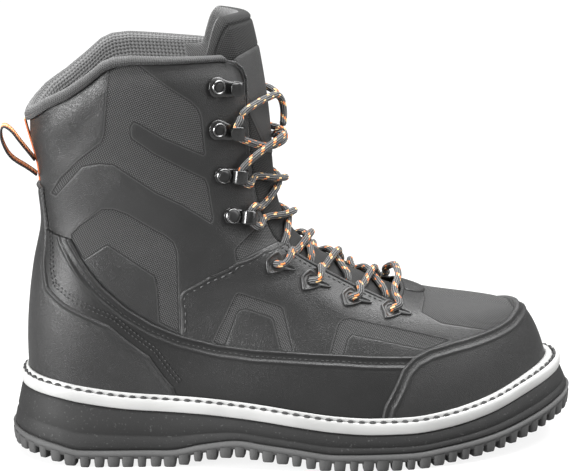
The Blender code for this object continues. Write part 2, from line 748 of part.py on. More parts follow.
def tongue_depth(s, v):
    """How far the tongue's face lies inside the last: under the flaps, and under the collar's pad."""
    under_collar = np.clip((v - 6.6) / 0.7, 0, 1)
    bare = UPPER_WALL + 2 * GAP
    distance = np.minimum(s, 1 - s)
    beside = np.clip((0.395 - distance) / 0.03, 0, 1)
    under_flap = 2 * GAP * np.clip((0.415 - distance) / 0.01, 0, 1)
    padding = COLLAR_PADDING * (0.35 + 0.65 * padding_share(s)) + 6 * GAP
    return bare + under_flap + under_collar * beside * padding


def build_tongue(parts):
    fabric = make_material("tongue_fabric", (0.040, 0.041, 0.044), 0.85)
    columns = np.concatenate([np.linspace(0.318, 0.396, 4), np.linspace(0.42, 0.58, 7),
                              np.linspace(0.604, 0.682, 4)])
    shares = np.linspace(0, 1, 12)
    s, share = np.meshgrid(columns, shares)
    centred = 1 - np.abs(s - 0.5) / 0.182
    lift = np.clip((centred - 0.14) / 0.3, 0, 1)
    top = 9.5 + 0.95 * lift * lift * (3 - 2 * lift)
    bottom = 4.35 + 0.35 * (1 - centred)
    v = bottom + (top - bottom) * share
    s, v, share, centred = (item.ravel() for item in (s, v, share, centred))
    depth = tongue_depth(s, v)
    swell = np.clip((v - 8.2) / 1.4, 0, 1) * np.clip(centred * 1.6, 0, 1)
    thick = TONGUE_THICKNESS * np.clip(0.35 + centred * 1.4, 0, 1) + TONGUE_PADDING * swell
    outer = last(s, v, -depth)
    inner = last(s, v, -depth - thick)
    faces = strip_faces(len(shares), len(columns), False)
    count = len(outer)
    faces_in = [tuple(count + corner for corner in face[::-1]) for face in faces]
    width, height = len(columns), len(shares)
    rim = ([*range(width)] + [row * width + width - 1 for row in range(1, height)]
           + [(height - 1) * width + column for column in range(width - 2, -1, -1)]
           + [row * width for row in range(height - 2, 0, -1)])
    edge = []
    for here, after in zip(rim, rim[1:] + rim[:1]):
        edge += [(here, count + here, count + after), (here, count + after, after)]
    return mesh_object("tongue", np.vstack([outer, inner]), faces + faces_in + edge, fabric, parts)


def build_pull_loop(parts):
    webbing = make_material("pull_webbing", (0.06, 0.06, 0.062), 0.8)
    route = np.array(PULL_LOOP)
    ahead = np.gradient(route, axis=0)
    ahead /= np.linalg.norm(ahead, axis=1)[:, None]
    sections = []
    for (x, z), (dx, dz) in zip(route, ahead):
        corners = ((-1, -1), (1, -1), (1, 1), (-1, 1))
        sections.append(np.array([
            (x - dz * b * STRAP_THICKNESS / 2, a * STRAP_WIDTH / 2, z + dx * b * STRAP_THICKNESS / 2)
            for a, b in corners
        ]))
    return loft("pull_loop", sections, webbing, parts)


def hook_mesh(name, route, material, parts):
    """Bent plate along a side route with a rivet head through its round end."""
    sections = []
    route = np.array(route)
    ahead = np.gradient(route[:, :2], axis=0)
    ahead /= np.linalg.norm(ahead, axis=1)[:, None]
    for (x, z, half), (dx, dz) in zip(route, ahead):
        up = HOOK_PLATE / 2
        sections.append(np.array([
            (x - dz * b * up, a * half, z + dx * b * up)
            for a, b in ((-1, 1), (-1, -1), (1, -1), (1, 1))
        ]))
    plate = loft(name, sections, material, parts)
    form = bmesh.new()
    bmesh.ops.create_cone(
        form, cap_ends=True, segments=8, radius1=RIVET_RADIUS, radius2=RIVET_RADIUS * 0.75,
        depth=RIVET_HEIGHT - HOOK_PLATE / 2,
        matrix=Matrix.Translation((0, 0, (RIVET_HEIGHT + HOOK_PLATE / 2) / 2)),
    )
    rivet_mesh = bpy.data.meshes.new(name + "_rivet")
    form.to_mesh(rivet_mesh)
    form.free()
    rivet = bpy.data.objects.new(name + "_rivet", rivet_mesh)
    parts.objects.link(rivet)
    combine(plate, rivet, "UNION")
    bpy.context.view_layer.update()
    evaluated = plate.evaluated_get(bpy.context.evaluated_depsgraph_get())
    mesh = bpy.data.meshes.new_from_object(evaluated)
    mesh.name = name + "_mesh"
    for scrap in (plate, rivet):
        bpy.data.objects.remove(scrap, do_unlink=True)
    return mesh


def build_hooks(parts):
    metal = make_material("hook_metal", (0.03, 0.03, 0.032), 0.35, 0.9)
    half, rise, half_plate = HOOK_WIDTH / 2, HOOK_RISE, HOOK_PLATE / 2
    reach, end = HOOK_LENGTH, HOOK_LENGTH - 0.0025
    # Side routes: distance towards the throat, height, half width.
    open_route = (
        (-0.0050, half_plate, half * 0.5), (-0.0040, half_plate, half * 0.95),
        (-0.0015, half_plate, half * 1.28), (0.0020, half_plate, half * 1.25),
        (0.0055, half_plate, half), (reach - 0.0015, half_plate, half),
        (reach, half_plate + 0.0015, half), (reach, rise - 0.0015, half),
        (reach - 0.0018, rise, half), (reach - 0.0080, rise, half * 0.85),
    )
    closed_route = (
        (-0.0045, half_plate, half * 0.5), (-0.0036, half_plate, half * 0.9),
        (-0.0012, half_plate, half * 1.1), (0.0020, half_plate, half * 1.08),
        (0.0045, half_plate, half), (end - 0.0020, half_plate, half),
        (end - 0.0004, half_plate + 0.0016, half), (end - 0.0004, rise - 0.0016, half),
        (end - 0.0022, rise, half), (0.0062, rise, half), (0.0048, rise - 0.0016, half),
        (0.0046, 0.0022, half),
    )
    for name, route, places in (
        ("speed_hook", open_route, SPEED_HOOKS), ("lock_hook", closed_route, LOCK_HOOKS),
    ):
        mesh = hook_mesh(name, route, metal, parts)
        outer, inner = both_sides(places)
        for label, side, found in (("outer", 1, outer), ("inner", -1, inner)):
            for index, (s, v) in enumerate(found):
                hook = bpy.data.objects.new(f"{name}_{label}_{index + 1}", mesh)
                hook.matrix_world = lace_frame(s, v, side, 2 * GAP)
                parts.objects.link(hook)


def build_tabs(parts):
    """Diamond tabs on the upper, each a ring round its hole with a tail towards the toe."""
    rubber = make_material("tab_rubber", (0.035, 0.035, 0.037), 0.45)
    hole = EYELET_DIAMETER / 2 + GAP
    side_radius = 0.80 * TAB_RADIUS
    corners = np.array((TAB_TAIL, side_radius, TAB_RADIUS, side_radius) + (TAB_RADIUS, side_radius) * 2)
    outer, inner = both_sides(EYELETS)
    for label, side, found in (("outer", 1, outer), ("inner", -1, inner)):
        for index, (s, v) in enumerate(found):
            turn = lace_frame(s, v, side, 0.0).to_3x3().inverted() @ Vector((1, 0, -0.35))
            angles = math.atan2(turn.y, turn.x) + np.arange(8) * math.pi / 4
            low, high = 2 * GAP, 2 * GAP + TAB_THICKNESS
            rings = []
            for radius, height in (
                (hole, low), (corners, low), (corners - TAB_SLOPE, high), (hole, high),
            ):
                rings.append(surface_patch(
                    s, v, side, radius * np.cos(angles), radius * np.sin(angles), height))
            loft(f"eyelet_tab_{label}_{index + 1}", rings, rubber, parts, closed=True)


def tube(name, route, radius, material, parts):
    curve = bpy.data.curves.new(name, "CURVE")
    curve.dimensions = "3D"
    curve.bevel_depth = radius
    curve.bevel_resolution = 2
    curve.use_fill_caps = True
    spline = curve.splines.new("POLY")
    spline.points.add(len(route) - 1)
    for point, place in zip(spline.points, route):
        point.co = (*place, 1.0)
    curve.materials.append(material)
    piece = bpy.data.objects.new(name, curve)
    parts.objects.link(piece)
    return piece


def closed_mesh(piece, name, parts):
    """Mesh of a tube with its caps welded, in place of the tube."""
    bpy.context.view_layer.update()
    evaluated = piece.evaluated_get(bpy.context.evaluated_depsgraph_get())
    mesh = bpy.data.meshes.new_from_object(evaluated)
    form = bmesh.new()
    form.from_mesh(mesh)
    bmesh.ops.remove_doubles(form, verts=form.verts, dist=1e-6)
    form.to_mesh(mesh)
    form.free()
    bpy.data.objects.remove(piece, do_unlink=True)
    solid = bpy.data.objects.new(name, mesh)
    parts.objects.link(solid)
    return solid


def row_levels(row, s):
    """Level where the last meets the line across the boot at a lace row, for each s."""
    place, ahead = row
    levels = np.linspace(3.5, len(LEVELS) - 1, 161)
    found = []
    for share in s:
        points = last_point(np.full_like(levels, share), levels)[:, ::2]
        found.append(np.interp(0, (points - place) @ ahead, levels))
    return np.array(found)


def flap_edge(row):
    """Place s of the flap's edge at a lace row."""
    place, ahead = row
    edge = np.array(on_last(THROAT_EDGE[1:-1]))
    points = last_point(edge[:, 0], edge[:, 1])[:, ::2]
    return np.interp(0, (points - place) @ ahead, edge[:, 0])


def lace_rows():
    """Side view of each lace row from the toe up: its place, and the way on to the next row."""
    places = [last_point(s, v)[0][::2] for s, v in on_last(EYELETS)]
    for s, v in on_last(LOCK_HOOKS + SPEED_HOOKS[:1]):
        end = lace_frame(s, v, 1, 0.0) @ Vector((HOOK_LENGTH, 0, 0))
        places.append(np.array([end.x, end.z]))
    ways = np.gradient(np.array(places), axis=0)
    return [(place, way / np.linalg.norm(way)) for place, way in zip(places, ways)]


def moved_row(row, distance):
    place, ahead = row
    return place + ahead * distance, ahead


def lace_route(low, high, ends, arch):
    """Points of a strand from one row to another, over the tongue, with an arch."""
    steps = np.linspace(0, 1, 5)
    s = ends[0] + (ends[1] - ends[0]) * steps
    v = row_levels(low, s) * (1 - steps) + row_levels(high, s) * steps
    over_tongue = LACE_DIAMETER / 2 + 1.5 * GAP - UPPER_WALL
    return last(s, v, over_tongue + arch * np.sin(np.pi * steps))


def build_laces(parts, cutters):
    """Lace between the rows: a bar at the toe, then a crossing from each row to the next."""
    cord = make_material("lace_cord", (0.05, 0.05, 0.052), 0.8)
    radius = LACE_DIAMETER / 2
    rows = lace_rows()
    apart = 0.75 * LACE_DIAMETER
    bar_row = moved_row(rows[0], 0.2 * apart)
    start = flap_edge(bar_row) + 0.8 * LACE_INSIDE
    bar = lace_route(bar_row, bar_row, (start, 1 - start), LACE_ARCH)
    closed_mesh(tube("bar", bar, radius, cord, parts), "lace_bar", parts)
    for index in range(len(rows) - 1):
        low = moved_row(rows[index], apart * (2.0 if index == 0 else 1.0))
        high = moved_row(rows[index + 1], -apart)
        low_s, high_s = flap_edge(low) + LACE_INSIDE, flap_edge(high) + LACE_INSIDE
        strands = []
        for name, ends in (
            (f"lace_cross_{index + 1}", (low_s, 1 - high_s)),
            (f"far_strand_{index + 1}", (1 - low_s, high_s)),
        ):
            route = lace_route(low, high, ends, LACE_LIFT)
            strands.append(closed_mesh(tube("strand", route, radius, cord, parts), name, parts))
        near, far = strands
        parts.objects.unlink(far)
        combine(near, hide_cutter(far, cutters), "UNION")
    for name, route in (("lace_loop_outer", LOOP_OUTER), ("lace_loop_inner", LOOP_INNER)):
        points = np.array(route)
        places = np.linspace(0, len(points) - 1, round(1.4 * len(points)))
        tube(name, spline_weights(np.arange(len(points)), places) @ points, radius, cord, parts)


def main():
    clear_scene()
    parts = make_collection("wading_boot")
    cutters = make_collection("cutters")
    build_outsole(parts, cutters)
    build_midsole(parts)
    build_welt(parts)
    build_insole(parts)
    build_upper(parts, cutters)
    build_overlays(parts, cutters)
    build_collar(parts)
    build_tongue(parts)
    build_pull_loop(parts)
    build_hooks(parts)
    build_tabs(parts)
    build_laces(parts, cutters)


main()
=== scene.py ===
import math

import bpy
import numpy as np
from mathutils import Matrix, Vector


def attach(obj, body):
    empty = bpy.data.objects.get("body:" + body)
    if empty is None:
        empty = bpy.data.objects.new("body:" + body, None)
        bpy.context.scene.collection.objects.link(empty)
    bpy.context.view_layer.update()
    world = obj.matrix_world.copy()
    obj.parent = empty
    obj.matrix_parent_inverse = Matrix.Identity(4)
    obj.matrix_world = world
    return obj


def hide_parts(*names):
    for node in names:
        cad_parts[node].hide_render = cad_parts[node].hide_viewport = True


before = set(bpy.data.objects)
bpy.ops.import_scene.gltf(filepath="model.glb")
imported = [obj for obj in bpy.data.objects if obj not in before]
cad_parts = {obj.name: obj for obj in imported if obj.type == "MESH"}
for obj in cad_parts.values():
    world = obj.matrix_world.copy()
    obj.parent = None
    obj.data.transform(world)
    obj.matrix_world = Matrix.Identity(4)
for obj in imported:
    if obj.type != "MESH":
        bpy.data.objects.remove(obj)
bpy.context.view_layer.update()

print("frame loaded:", len(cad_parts), "nodes")

# The boot's own form: the same last as the model, in metres. x runs to the toe, y to the inner
# side, z up. s runs round the boot from the heel by the outer side, v up from the feather edge.
bootForm = {
    "length": 0.297, "ballWidth": 0.100, "height": 0.200, "heelHeight": 0.0395, "heelBack": -0.032,
    "wall": 0.0024, "gap": 0.0003, "lugHeight": 0.005, "outsoleBase": 0.0045,
    "weltReach": 0.0076, "weltHeight": 0.0088, "toeReach": 0.0020, "sideFlare": 0.0022, "endFlare": 0.0033,
}
# Rings from the feather edge up, a row each: back end and its rise, front end and its rise (ends as
# shares of the length, rises of the height), how much the ring follows the sole, and its tip's place
# sideways.
ringTable = np.array([
    (0.000, 0.0000, 1.000, 0.0000, 1.00, 0.13),
    (-0.003, 0.0770, 0.985, 0.0850, 0.85, 0.13),
    (-0.002, 0.1770, 0.960, 0.1640, 0.60, 0.12),
    (0.005, 0.2875, 0.912, 0.2160, 0.40, 0.08),
    (0.015, 0.3825, 0.815, 0.2350, 0.20, 0.04),
    (0.0236, 0.4725, 0.687, 0.2825, 0.05, 0.01),
    (0.020, 0.5525, 0.5556, 0.380, 0.00, 0.00),
    (0.015, 0.6375, 0.485, 0.5075, 0.00, 0.00),
    (-0.003, 0.7425, 0.468, 0.7025, 0.00, 0.00),
    (-0.0185, 0.8625, 0.4545, 0.8775, 0.00, 0.00),
    (-0.027, 0.9825, 0.434, 1.0325, 0.00, 0.00),
    (-0.030, 1.0625, 0.414, 1.1125, 0.00, 0.00),
])
# Half widths of the rings at five stations from heel to toe, as shares of the ball's width.
outerWidths = np.array([
    (0.300, 0.365, 0.500, 0.485, 0.200), (0.310, 0.380, 0.515, 0.505, 0.215),
    (0.315, 0.375, 0.460, 0.465, 0.220), (0.300, 0.365, 0.405, 0.395, 0.210),
    (0.280, 0.360, 0.380, 0.345, 0.195), (0.265, 0.360, 0.375, 0.310, 0.180),
    (0.240, 0.350, 0.375, 0.330, 0.185), (0.240, 0.360, 0.390, 0.330, 0.175),
    (0.240, 0.380, 0.420, 0.350, 0.180), (0.250, 0.405, 0.450, 0.370, 0.190),
    (0.250, 0.410, 0.455, 0.375, 0.190), (0.250, 0.410, 0.455, 0.375, 0.190),
])
innerWidths = np.array([
    (0.300, 0.315, 0.375, 0.490, 0.415), (0.310, 0.345, 0.395, 0.510, 0.420),
    (0.315, 0.360, 0.410, 0.465, 0.390), (0.300, 0.355, 0.385, 0.400, 0.310),
    (0.280, 0.350, 0.370, 0.345, 0.220), (0.265, 0.350, 0.370, 0.310, 0.185),
    (0.240, 0.345, 0.370, 0.330, 0.185), (0.240, 0.355, 0.385, 0.330, 0.175),
    (0.240, 0.380, 0.415, 0.350, 0.180), (0.250, 0.405, 0.445, 0.370, 0.190),
    (0.250, 0.410, 0.450, 0.375, 0.190), (0.250, 0.410, 0.450, 0.375, 0.190),
])
# Sole from the side: place along the length, top of the foam and rise of the outsole's base.
soleTable = np.array([
    (-0.05, 1.033, 0.163), (0.04, 0.985, 0.066), (0.085, 0.933, 0.0), (0.19, 0.830, 0.0),
    (0.25, 0.805, 0.0), (0.32, 0.780, 0.108), (0.385, 0.742, 0.178), (0.43, 0.705, 0.135),
    (0.49, 0.640, 0.079), (0.57, 0.560, 0.002), (0.64, 0.522, 0.0), (0.71, 0.517, 0.0),
    (0.78, 0.560, 0.049), (0.87, 0.680, 0.128), (0.95, 0.860, 0.258), (1.06, 1.080, 0.498),
])
# Edges seen from the side, as shares of the length and of the height.
collarEdge = (
    (-0.20, 0.765), (-0.008, 0.765), (0.034, 0.820), (0.074, 0.855), (0.109, 0.894), (0.140, 0.934),
    (0.160, 0.948), (0.193, 0.955), (0.252, 0.954), (0.319, 0.953), (0.362, 0.950),
    (0.389, 0.937), (0.402, 0.918),
)
throatEdge = (
    (0.409, 0.890), (0.409, 0.773), (0.413, 0.663), (0.428, 0.534), (0.448, 0.472),
    (0.465, 0.433), (0.490, 0.399), (0.549, 0.343), (0.603, 0.299), (0.677, 0.248), (0.700, 0.245),
)
eyeletPlaces = ((0.680, 0.232), (0.604, 0.268), (0.527, 0.318), (0.460, 0.372))
lockHookPlaces = ((0.377, 0.512), (0.360, 0.629))
speedHookPlaces = ((0.352, 0.760), (0.351, 0.879))

# The photograph's camera: where it stands, and its frame in pixels.
cameraPlan = {
    "target": (0.112, 0.0, 0.122), "distance": 1.450, "elevation": 14.0, "azimuth": -4.0,
    "lens": 160.2, "sensor": 36.0, "frameWidth": 570, "frameHeight": 471,
}


def steadyCurve(knots, values, at):
    # A line through the knots whose slope at each is the harmonic mean of its neighbours' slopes.
    widths = np.diff(knots)
    rates = np.diff(values) / widths
    slopes = np.zeros_like(values)
    slopes[0], slopes[-1] = rates[0], rates[-1]
    same = rates[:-1] * rates[1:] > 0
    mean = np.zeros(len(rates) - 1)
    mean[same] = 2 / (1 / rates[:-1][same] + 1 / rates[1:][same])
    slopes[1:-1] = mean
    cell = np.clip(np.searchsorted(knots, at, side="right") - 1, 0, len(widths) - 1)
    width = widths[cell]
    t = (at - knots[cell]) / width
    return (
        values[cell] * (1 + 2 * t) * (1 - t) ** 2 + values[cell + 1] * t * t * (3 - 2 * t)
        + width * slopes[cell] * t * (1 - t) ** 2 + width * slopes[cell + 1] * t * t * (t - 1)
    )


def splineWeights(knots, at):
    # Natural cubic spline: the weight of each knot at each place.
    knots, at = np.asarray(knots, float), np.asarray(at, float)
    count = len(knots)
    gaps = np.diff(knots)
    system, right = np.eye(count), np.zeros((count, count))
    for i in range(1, count - 1):
        system[i, i - 1:i + 2] = gaps[i - 1], 2 * (gaps[i - 1] + gaps[i]), gaps[i]
        right[i, i - 1:i + 2] = 6 / gaps[i - 1], -6 / gaps[i - 1] - 6 / gaps[i], 6 / gaps[i]
    bend = np.linalg.solve(system, right)
    cell = np.clip(np.searchsorted(knots, at, side="right") - 1, 0, count - 2)
    gap = gaps[cell]
    a = (knots[cell + 1] - at) / gap
    b = 1 - a
    unit = np.eye(count)
    return (
        a[:, None] * unit[cell] + b[:, None] * unit[cell + 1]
        + ((a ** 3 - a) * gap ** 2 / 6)[:, None] * bend[cell]
        + ((b ** 3 - b) * gap ** 2 / 6)[:, None] * bend[cell + 1]
    )


def ringWeights(s):
    # The same for the twelve stations round a ring, closed on itself.
    wrapped = splineWeights(np.arange(-6, 19) / 12, np.mod(s, 1.0))
    weights = np.zeros((len(wrapped), 12))
    for column, station in enumerate(range(-6, 19)):
        weights[:, station % 12] += wrapped[:, column]
    return weights


def soleTop(x):
    share = (np.asarray(x, float) - bootForm["heelBack"]) / bootForm["length"]
    return bootForm["heelHeight"] * steadyCurve(soleTable[:, 0], soleTable[:, 1], share)


def soleBase(x):
    share = (np.asarray(x, float) - bootForm["heelBack"]) / bootForm["length"]
    rise = steadyCurve(soleTable[:, 0], soleTable[:, 2], share)
    return bootForm["lugHeight"] + bootForm["heelHeight"] * rise


def onLast(s, v, offset=0.0):
    # Point at a distance outside the last: rings interpolated by splines, moved along the normal.
    s, v, offset = np.broadcast_arrays(*(np.asarray(item, float) for item in (s, v, offset)))
    shape = s.shape
    flatS, flatV = s.ravel(), v.ravel()
    point = lastPoint(flatS, flatV)
    normal = lastNormal(flatS, flatV)
    return (point + normal * offset.reshape(-1, 1)).reshape(*shape, 3)


def lastPoint(s, v):
    # x goes from a ring's back to its front as half a cosine wave, y and z come from the tables.
    byLevel = splineWeights(np.arange(len(ringTable)), v)
    back, riseBack, front, riseFront, bow, tip = (byLevel @ ringTable).T
    outer, inner = byLevel @ outerWidths, byLevel @ innerWidths
    stations = np.hstack([np.zeros((len(v), 1)), -outer, tip[:, None], inner[:, ::-1]])
    along = (1 - np.cos(2 * np.pi * s)) / 2
    x = bootForm["heelBack"] + bootForm["length"] * (back + (front - back) * along)
    y = bootForm["ballWidth"] * np.sum(ringWeights(s) * stations, axis=1)
    rise = riseBack + (riseFront - riseBack) * along
    z = bow * soleTop(x) + (1 - bow) * bootForm["heelHeight"] + bootForm["height"] * rise
    return np.column_stack([x, y, z])


def lastNormal(s, v):
    # Cross product of the steps round and up the last, over its length.
    stepS, stepV = 1e-3, 1e-2
    around = lastPoint(s + stepS, v) - lastPoint(s - stepS, v)
    up = lastPoint(s, v + stepV) - lastPoint(s, v - stepV)
    normal = np.cross(around, up)
    return normal / np.linalg.norm(normal, axis=1)[:, None]


def normalAt(s, v):
    s, v = np.broadcast_arrays(np.asarray(s, float), np.asarray(v, float))
    return lastNormal(s.ravel(), v.ravel()).reshape(*s.shape, 3)


def sidePlace(edge):
    # World x and z of places given in shares.
    shares = np.array(edge, float)
    return (bootForm["heelBack"] + bootForm["length"] * shares[:, 0],
            bootForm["heelHeight"] + bootForm["height"] * shares[:, 1])


def fromSide(edge):
    # Ring places s and v on the outer side of places seen from the side, by a table of the levels.
    levels = np.linspace(0, 11, 441)
    table = splineWeights(np.arange(len(ringTable)), levels) @ ringTable
    back, riseBack, front, riseFront, bow, _ = table.T
    found = []
    for x, z in zip(*sidePlace(edge)):
        along = np.clip(((x - bootForm["heelBack"]) / bootForm["length"] - back) / (front - back), 0, 1)
        rise = riseBack + (riseFront - riseBack) * along
        height = bow * soleTop(x) + (1 - bow) * bootForm["heelHeight"] + bootForm["height"] * rise
        level = np.interp(z, height, levels)
        found.append((math.acos(1 - 2 * np.interp(level, levels, along)) / (2 * math.pi), level))
    return np.array(found)


def edgeLevels(s, edge, offset=0.0):
    # For each s, the level where the surface first rises over an edge seen from the side.
    levels = np.linspace(0, 11, 441)
    places, heights = np.meshgrid(s, levels)
    points = onLast(places, heights, offset)
    over = points[..., 2] - np.interp(points[..., 0], *sidePlace(edge))
    k = np.clip(np.argmax(over > 0, axis=0), 1, None)
    column = np.arange(len(s))
    low, high = over[k - 1, column], over[k, column]
    return levels[k - 1] + np.clip(-low / (high - low), 0, 1) * (levels[1] - levels[0])


def levelAtX(s, x):
    # For each s, the level over the forefoot where the last has a given x.
    levels = np.linspace(3.0, 7.0, 161)
    places, heights = np.meshgrid(s, levels)
    found = onLast(places, heights)[..., 0]
    goals = np.broadcast_to(x, np.shape(s))
    return np.array([np.interp(-goal, -found[:, i], levels) for i, goal in enumerate(goals)])


def cameraAxes():
    a, e = math.radians(cameraPlan["azimuth"]), math.radians(cameraPlan["elevation"])
    back = np.array((math.sin(a) * math.cos(e), -math.cos(a) * math.cos(e), math.sin(e)))
    right = np.cross(-back, (0, 0, 1))
    right /= np.linalg.norm(right)
    return right, np.cross(right, -back), back


def inPhoto(points):
    # Pixel of each point: its sideways and upward places over its depth, times the lens.
    right, up, back = cameraAxes()
    place = np.array(cameraPlan["target"]) + back * cameraPlan["distance"]
    away = np.asarray(points, float) - place
    depth = away @ -back
    focal = cameraPlan["lens"] / cameraPlan["sensor"] * cameraPlan["frameWidth"]
    return np.stack([cameraPlan["frameWidth"] / 2 + focal * (away @ right) / depth,
                     cameraPlan["frameHeight"] / 2 - focal * (away @ up) / depth], axis=-1)


def fromPhoto(pixels):
    # Ring places on the outer side under pixels: nearest of a table, then three Newton steps.
    pixels = np.array(pixels, float)
    tableS, tableV = (item.ravel() for item in np.meshgrid(np.linspace(0, 0.5, 251), np.linspace(0, 11, 276)))
    points = onLast(tableS, tableV)
    back = cameraAxes()[2]
    facing = normalAt(tableS, tableV) @ back > 0.02
    tableS, tableV, seen = tableS[facing], tableV[facing], inPhoto(points[facing])
    nearest = np.argmin(np.sum((pixels[:, None] - seen[None]) ** 2, axis=2), axis=1)
    s, v = tableS[nearest], tableV[nearest]
    for _ in range(3):
        here = inPhoto(onLast(s, v))
        byS = (inPhoto(onLast(s + 1e-4, v)) - here) / 1e-4
        byV = (inPhoto(onLast(s, v + 1e-3)) - here) / 1e-3
        miss = pixels - here
        area = byS[:, 0] * byV[:, 1] - byS[:, 1] * byV[:, 0]
        s = s + np.clip((miss[:, 0] * byV[:, 1] - miss[:, 1] * byV[:, 0]) / area, -0.01, 0.01)
        v = v + np.clip((byS[:, 0] * miss[:, 1] - byS[:, 1] * miss[:, 0]) / area, -0.2, 0.2)
        s, v = np.clip(s, 0.0, 0.5), np.clip(v, 0.0, 11.0)
    return np.column_stack([s, v])


def mirrored(s):
    # The outer side's place for a place on either side.
    wrapped = np.mod(s, 1.0)
    return np.minimum(wrapped, 1 - wrapped)


def smoothStep(low, high, value):
    t = np.clip((value - low) / (high - low), 0, 1)
    return t * t * (3 - 2 * t)


def insideBy(points, polygon):
    # Distance to a polygon's outline, positive inside it: nearest edge, sign by crossings.
    corners = np.array(polygon, float)
    starts, ends = corners, np.roll(corners, -1, axis=0)
    flat = points.reshape(-1, 2)
    edge = ends - starts
    away = flat[:, None] - starts[None]
    t = np.clip(np.sum(away * edge, axis=2) / np.sum(edge * edge, axis=1), 0, 1)
    nearest = np.min(np.linalg.norm(away - edge * t[..., None], axis=2), axis=1)
    rises = (starts[:, 1] > flat[:, None, 1]) != (ends[:, 1] > flat[:, None, 1])
    span = np.where(np.abs(edge[:, 1]) < 1e-9, 1e-9, edge[:, 1])
    crossing = starts[:, 0] + (flat[:, None, 1] - starts[:, 1]) * edge[:, 0] / span
    inside = np.sum(rises & (flat[:, None, 0] < crossing), axis=1) % 2 == 1
    return np.where(inside, nearest, -nearest).reshape(points.shape[:-1])


def lineDistance(points, line):
    # Distance to an open line of straight pieces.
    corners = np.array(line, float)
    starts, edge = corners[:-1], np.diff(corners, axis=0)
    flat = points.reshape(-1, points.shape[-1])
    away = flat[:, None] - starts[None]
    t = np.clip(np.sum(away * edge, axis=2) / np.sum(edge * edge, axis=1), 0, 1)
    return np.min(np.linalg.norm(away - edge * t[..., None], axis=2), axis=1).reshape(points.shape[:-1])


def walkedAlong(points):
    # Distance walked along a path at each of its points.
    return np.concatenate([[0], np.cumsum(np.linalg.norm(np.diff(points, axis=0), axis=1))])


def smoothPath(points, count):
    # A natural spline through points by their distances, at evenly spaced places.
    points = np.array(points, float)
    knots = walkedAlong(points)
    return splineWeights(knots, np.linspace(0, knots[-1], count)) @ points


def evenOnLast(line, count):
    # Ring places along a line, evenly spaced by their distance on the boot.
    line = np.array(line, float)
    points = onLast(line[:, 0], line[:, 1])
    walked = walkedAlong(points)
    at = np.linspace(0, walked[-1], count)
    return np.column_stack([np.interp(at, walked, line[:, 0]), np.interp(at, walked, line[:, 1])])


# Meshes

def makeMesh(name, points, quads, materials, uv=None, marks=None, materialIndex=None):
    # Mesh from arrays of points and of four-sided faces, with a map and named values per point.
    mesh = bpy.data.meshes.new(name)
    points = np.asarray(points, np.float32).reshape(-1, 3)
    quads = np.asarray(quads, np.int32)
    if uv is not None:
        uv = np.asarray(uv, np.float32).reshape(-1, 2)
        uv = uv.reshape(*quads.shape, 2) if len(uv) == quads.size else uv[quads]
    # Volume by the triangles of all faces: faces of a shell that holds less than nothing are turned.
    a, b, c, d = (points[quads[:, i]].astype(float) for i in range(4))
    if np.sum(np.cross(a, b) * c) + np.sum(np.cross(a, c) * d) < 0:
        quads = quads[:, ::-1]
        uv = None if uv is None else uv[:, ::-1]
    mesh.vertices.add(len(points))
    mesh.vertices.foreach_set("co", points.ravel())
    mesh.loops.add(quads.size)
    mesh.loops.foreach_set("vertex_index", np.ascontiguousarray(quads).ravel())
    mesh.polygons.add(len(quads))
    mesh.polygons.foreach_set("loop_start", np.arange(len(quads), dtype=np.int32) * quads.shape[1])
    mesh.update(calc_edges=True)
    if uv is not None:
        layer = mesh.uv_layers.new(name="fabric")
        layer.data.foreach_set("uv", np.ascontiguousarray(uv, np.float32).ravel())
    for mark, values in (marks or {}).items():
        attribute = mesh.attributes.new(mark, "FLOAT", "POINT")
        attribute.data.foreach_set("value", np.asarray(values, np.float32).ravel())
    for material in materials if isinstance(materials, (list, tuple)) else [materials]:
        mesh.materials.append(material)
    if materialIndex is not None:
        mesh.polygons.foreach_set("material_index", np.asarray(materialIndex, np.int32))
    mesh.shade_smooth()
    mesh.validate()
    piece = bpy.data.objects.new(name, mesh)
    bpy.context.scene.collection.objects.link(piece)
    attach(piece, "root")
    return piece


def gridQuads(rows, columns, closedColumns=False, closedRows=False, start=0):
    # Faces of a grid of points stored row after row.
    r = np.arange(rows if closedRows else rows - 1)
    c = np.arange(columns if closedColumns else columns - 1)
    row, column = (item.ravel() for item in np.meshgrid(r, c, indexing="ij"))
    nextRow, nextColumn = (row + 1) % rows, (column + 1) % columns
    corners = [row * columns + column, row * columns + nextColumn,
               nextRow * columns + nextColumn, nextRow * columns + column]
    return np.column_stack(corners) + start


def slabQuads(rows, columns):
    # Faces of two equal grids, an outer and an inner one, joined all round their edges.
    count = rows * columns
    outer = gridQuads(rows, columns)
    inner = gridQuads(rows, columns)[:, ::-1] + count
    rim = np.concatenate([
        np.arange(columns), np.arange(1, rows) * columns + columns - 1,
        (rows - 1) * columns + np.arange(columns - 2, -1, -1), np.arange(rows - 2, 0, -1) * columns,
    ])
    after = np.roll(rim, -1)
    edge = np.column_stack([rim, rim + count, after + count, after])
    return outer, inner, edge


def clothMap(points):
    # Distances along the rows and up the columns of a grid, in metres, as its map.
    alongRow = np.zeros(points.shape[:2])
    alongRow[:, 1:] = np.cumsum(np.linalg.norm(np.diff(points, axis=1), axis=2), axis=1)
    alongRow -= alongRow[:, points.shape[1] // 2][:, None]
    upColumn = np.zeros(points.shape[:2])
    upColumn[1:] = np.cumsum(np.linalg.norm(np.diff(points, axis=0), axis=2), axis=0)
    return np.stack([alongRow, upColumn], axis=-1)


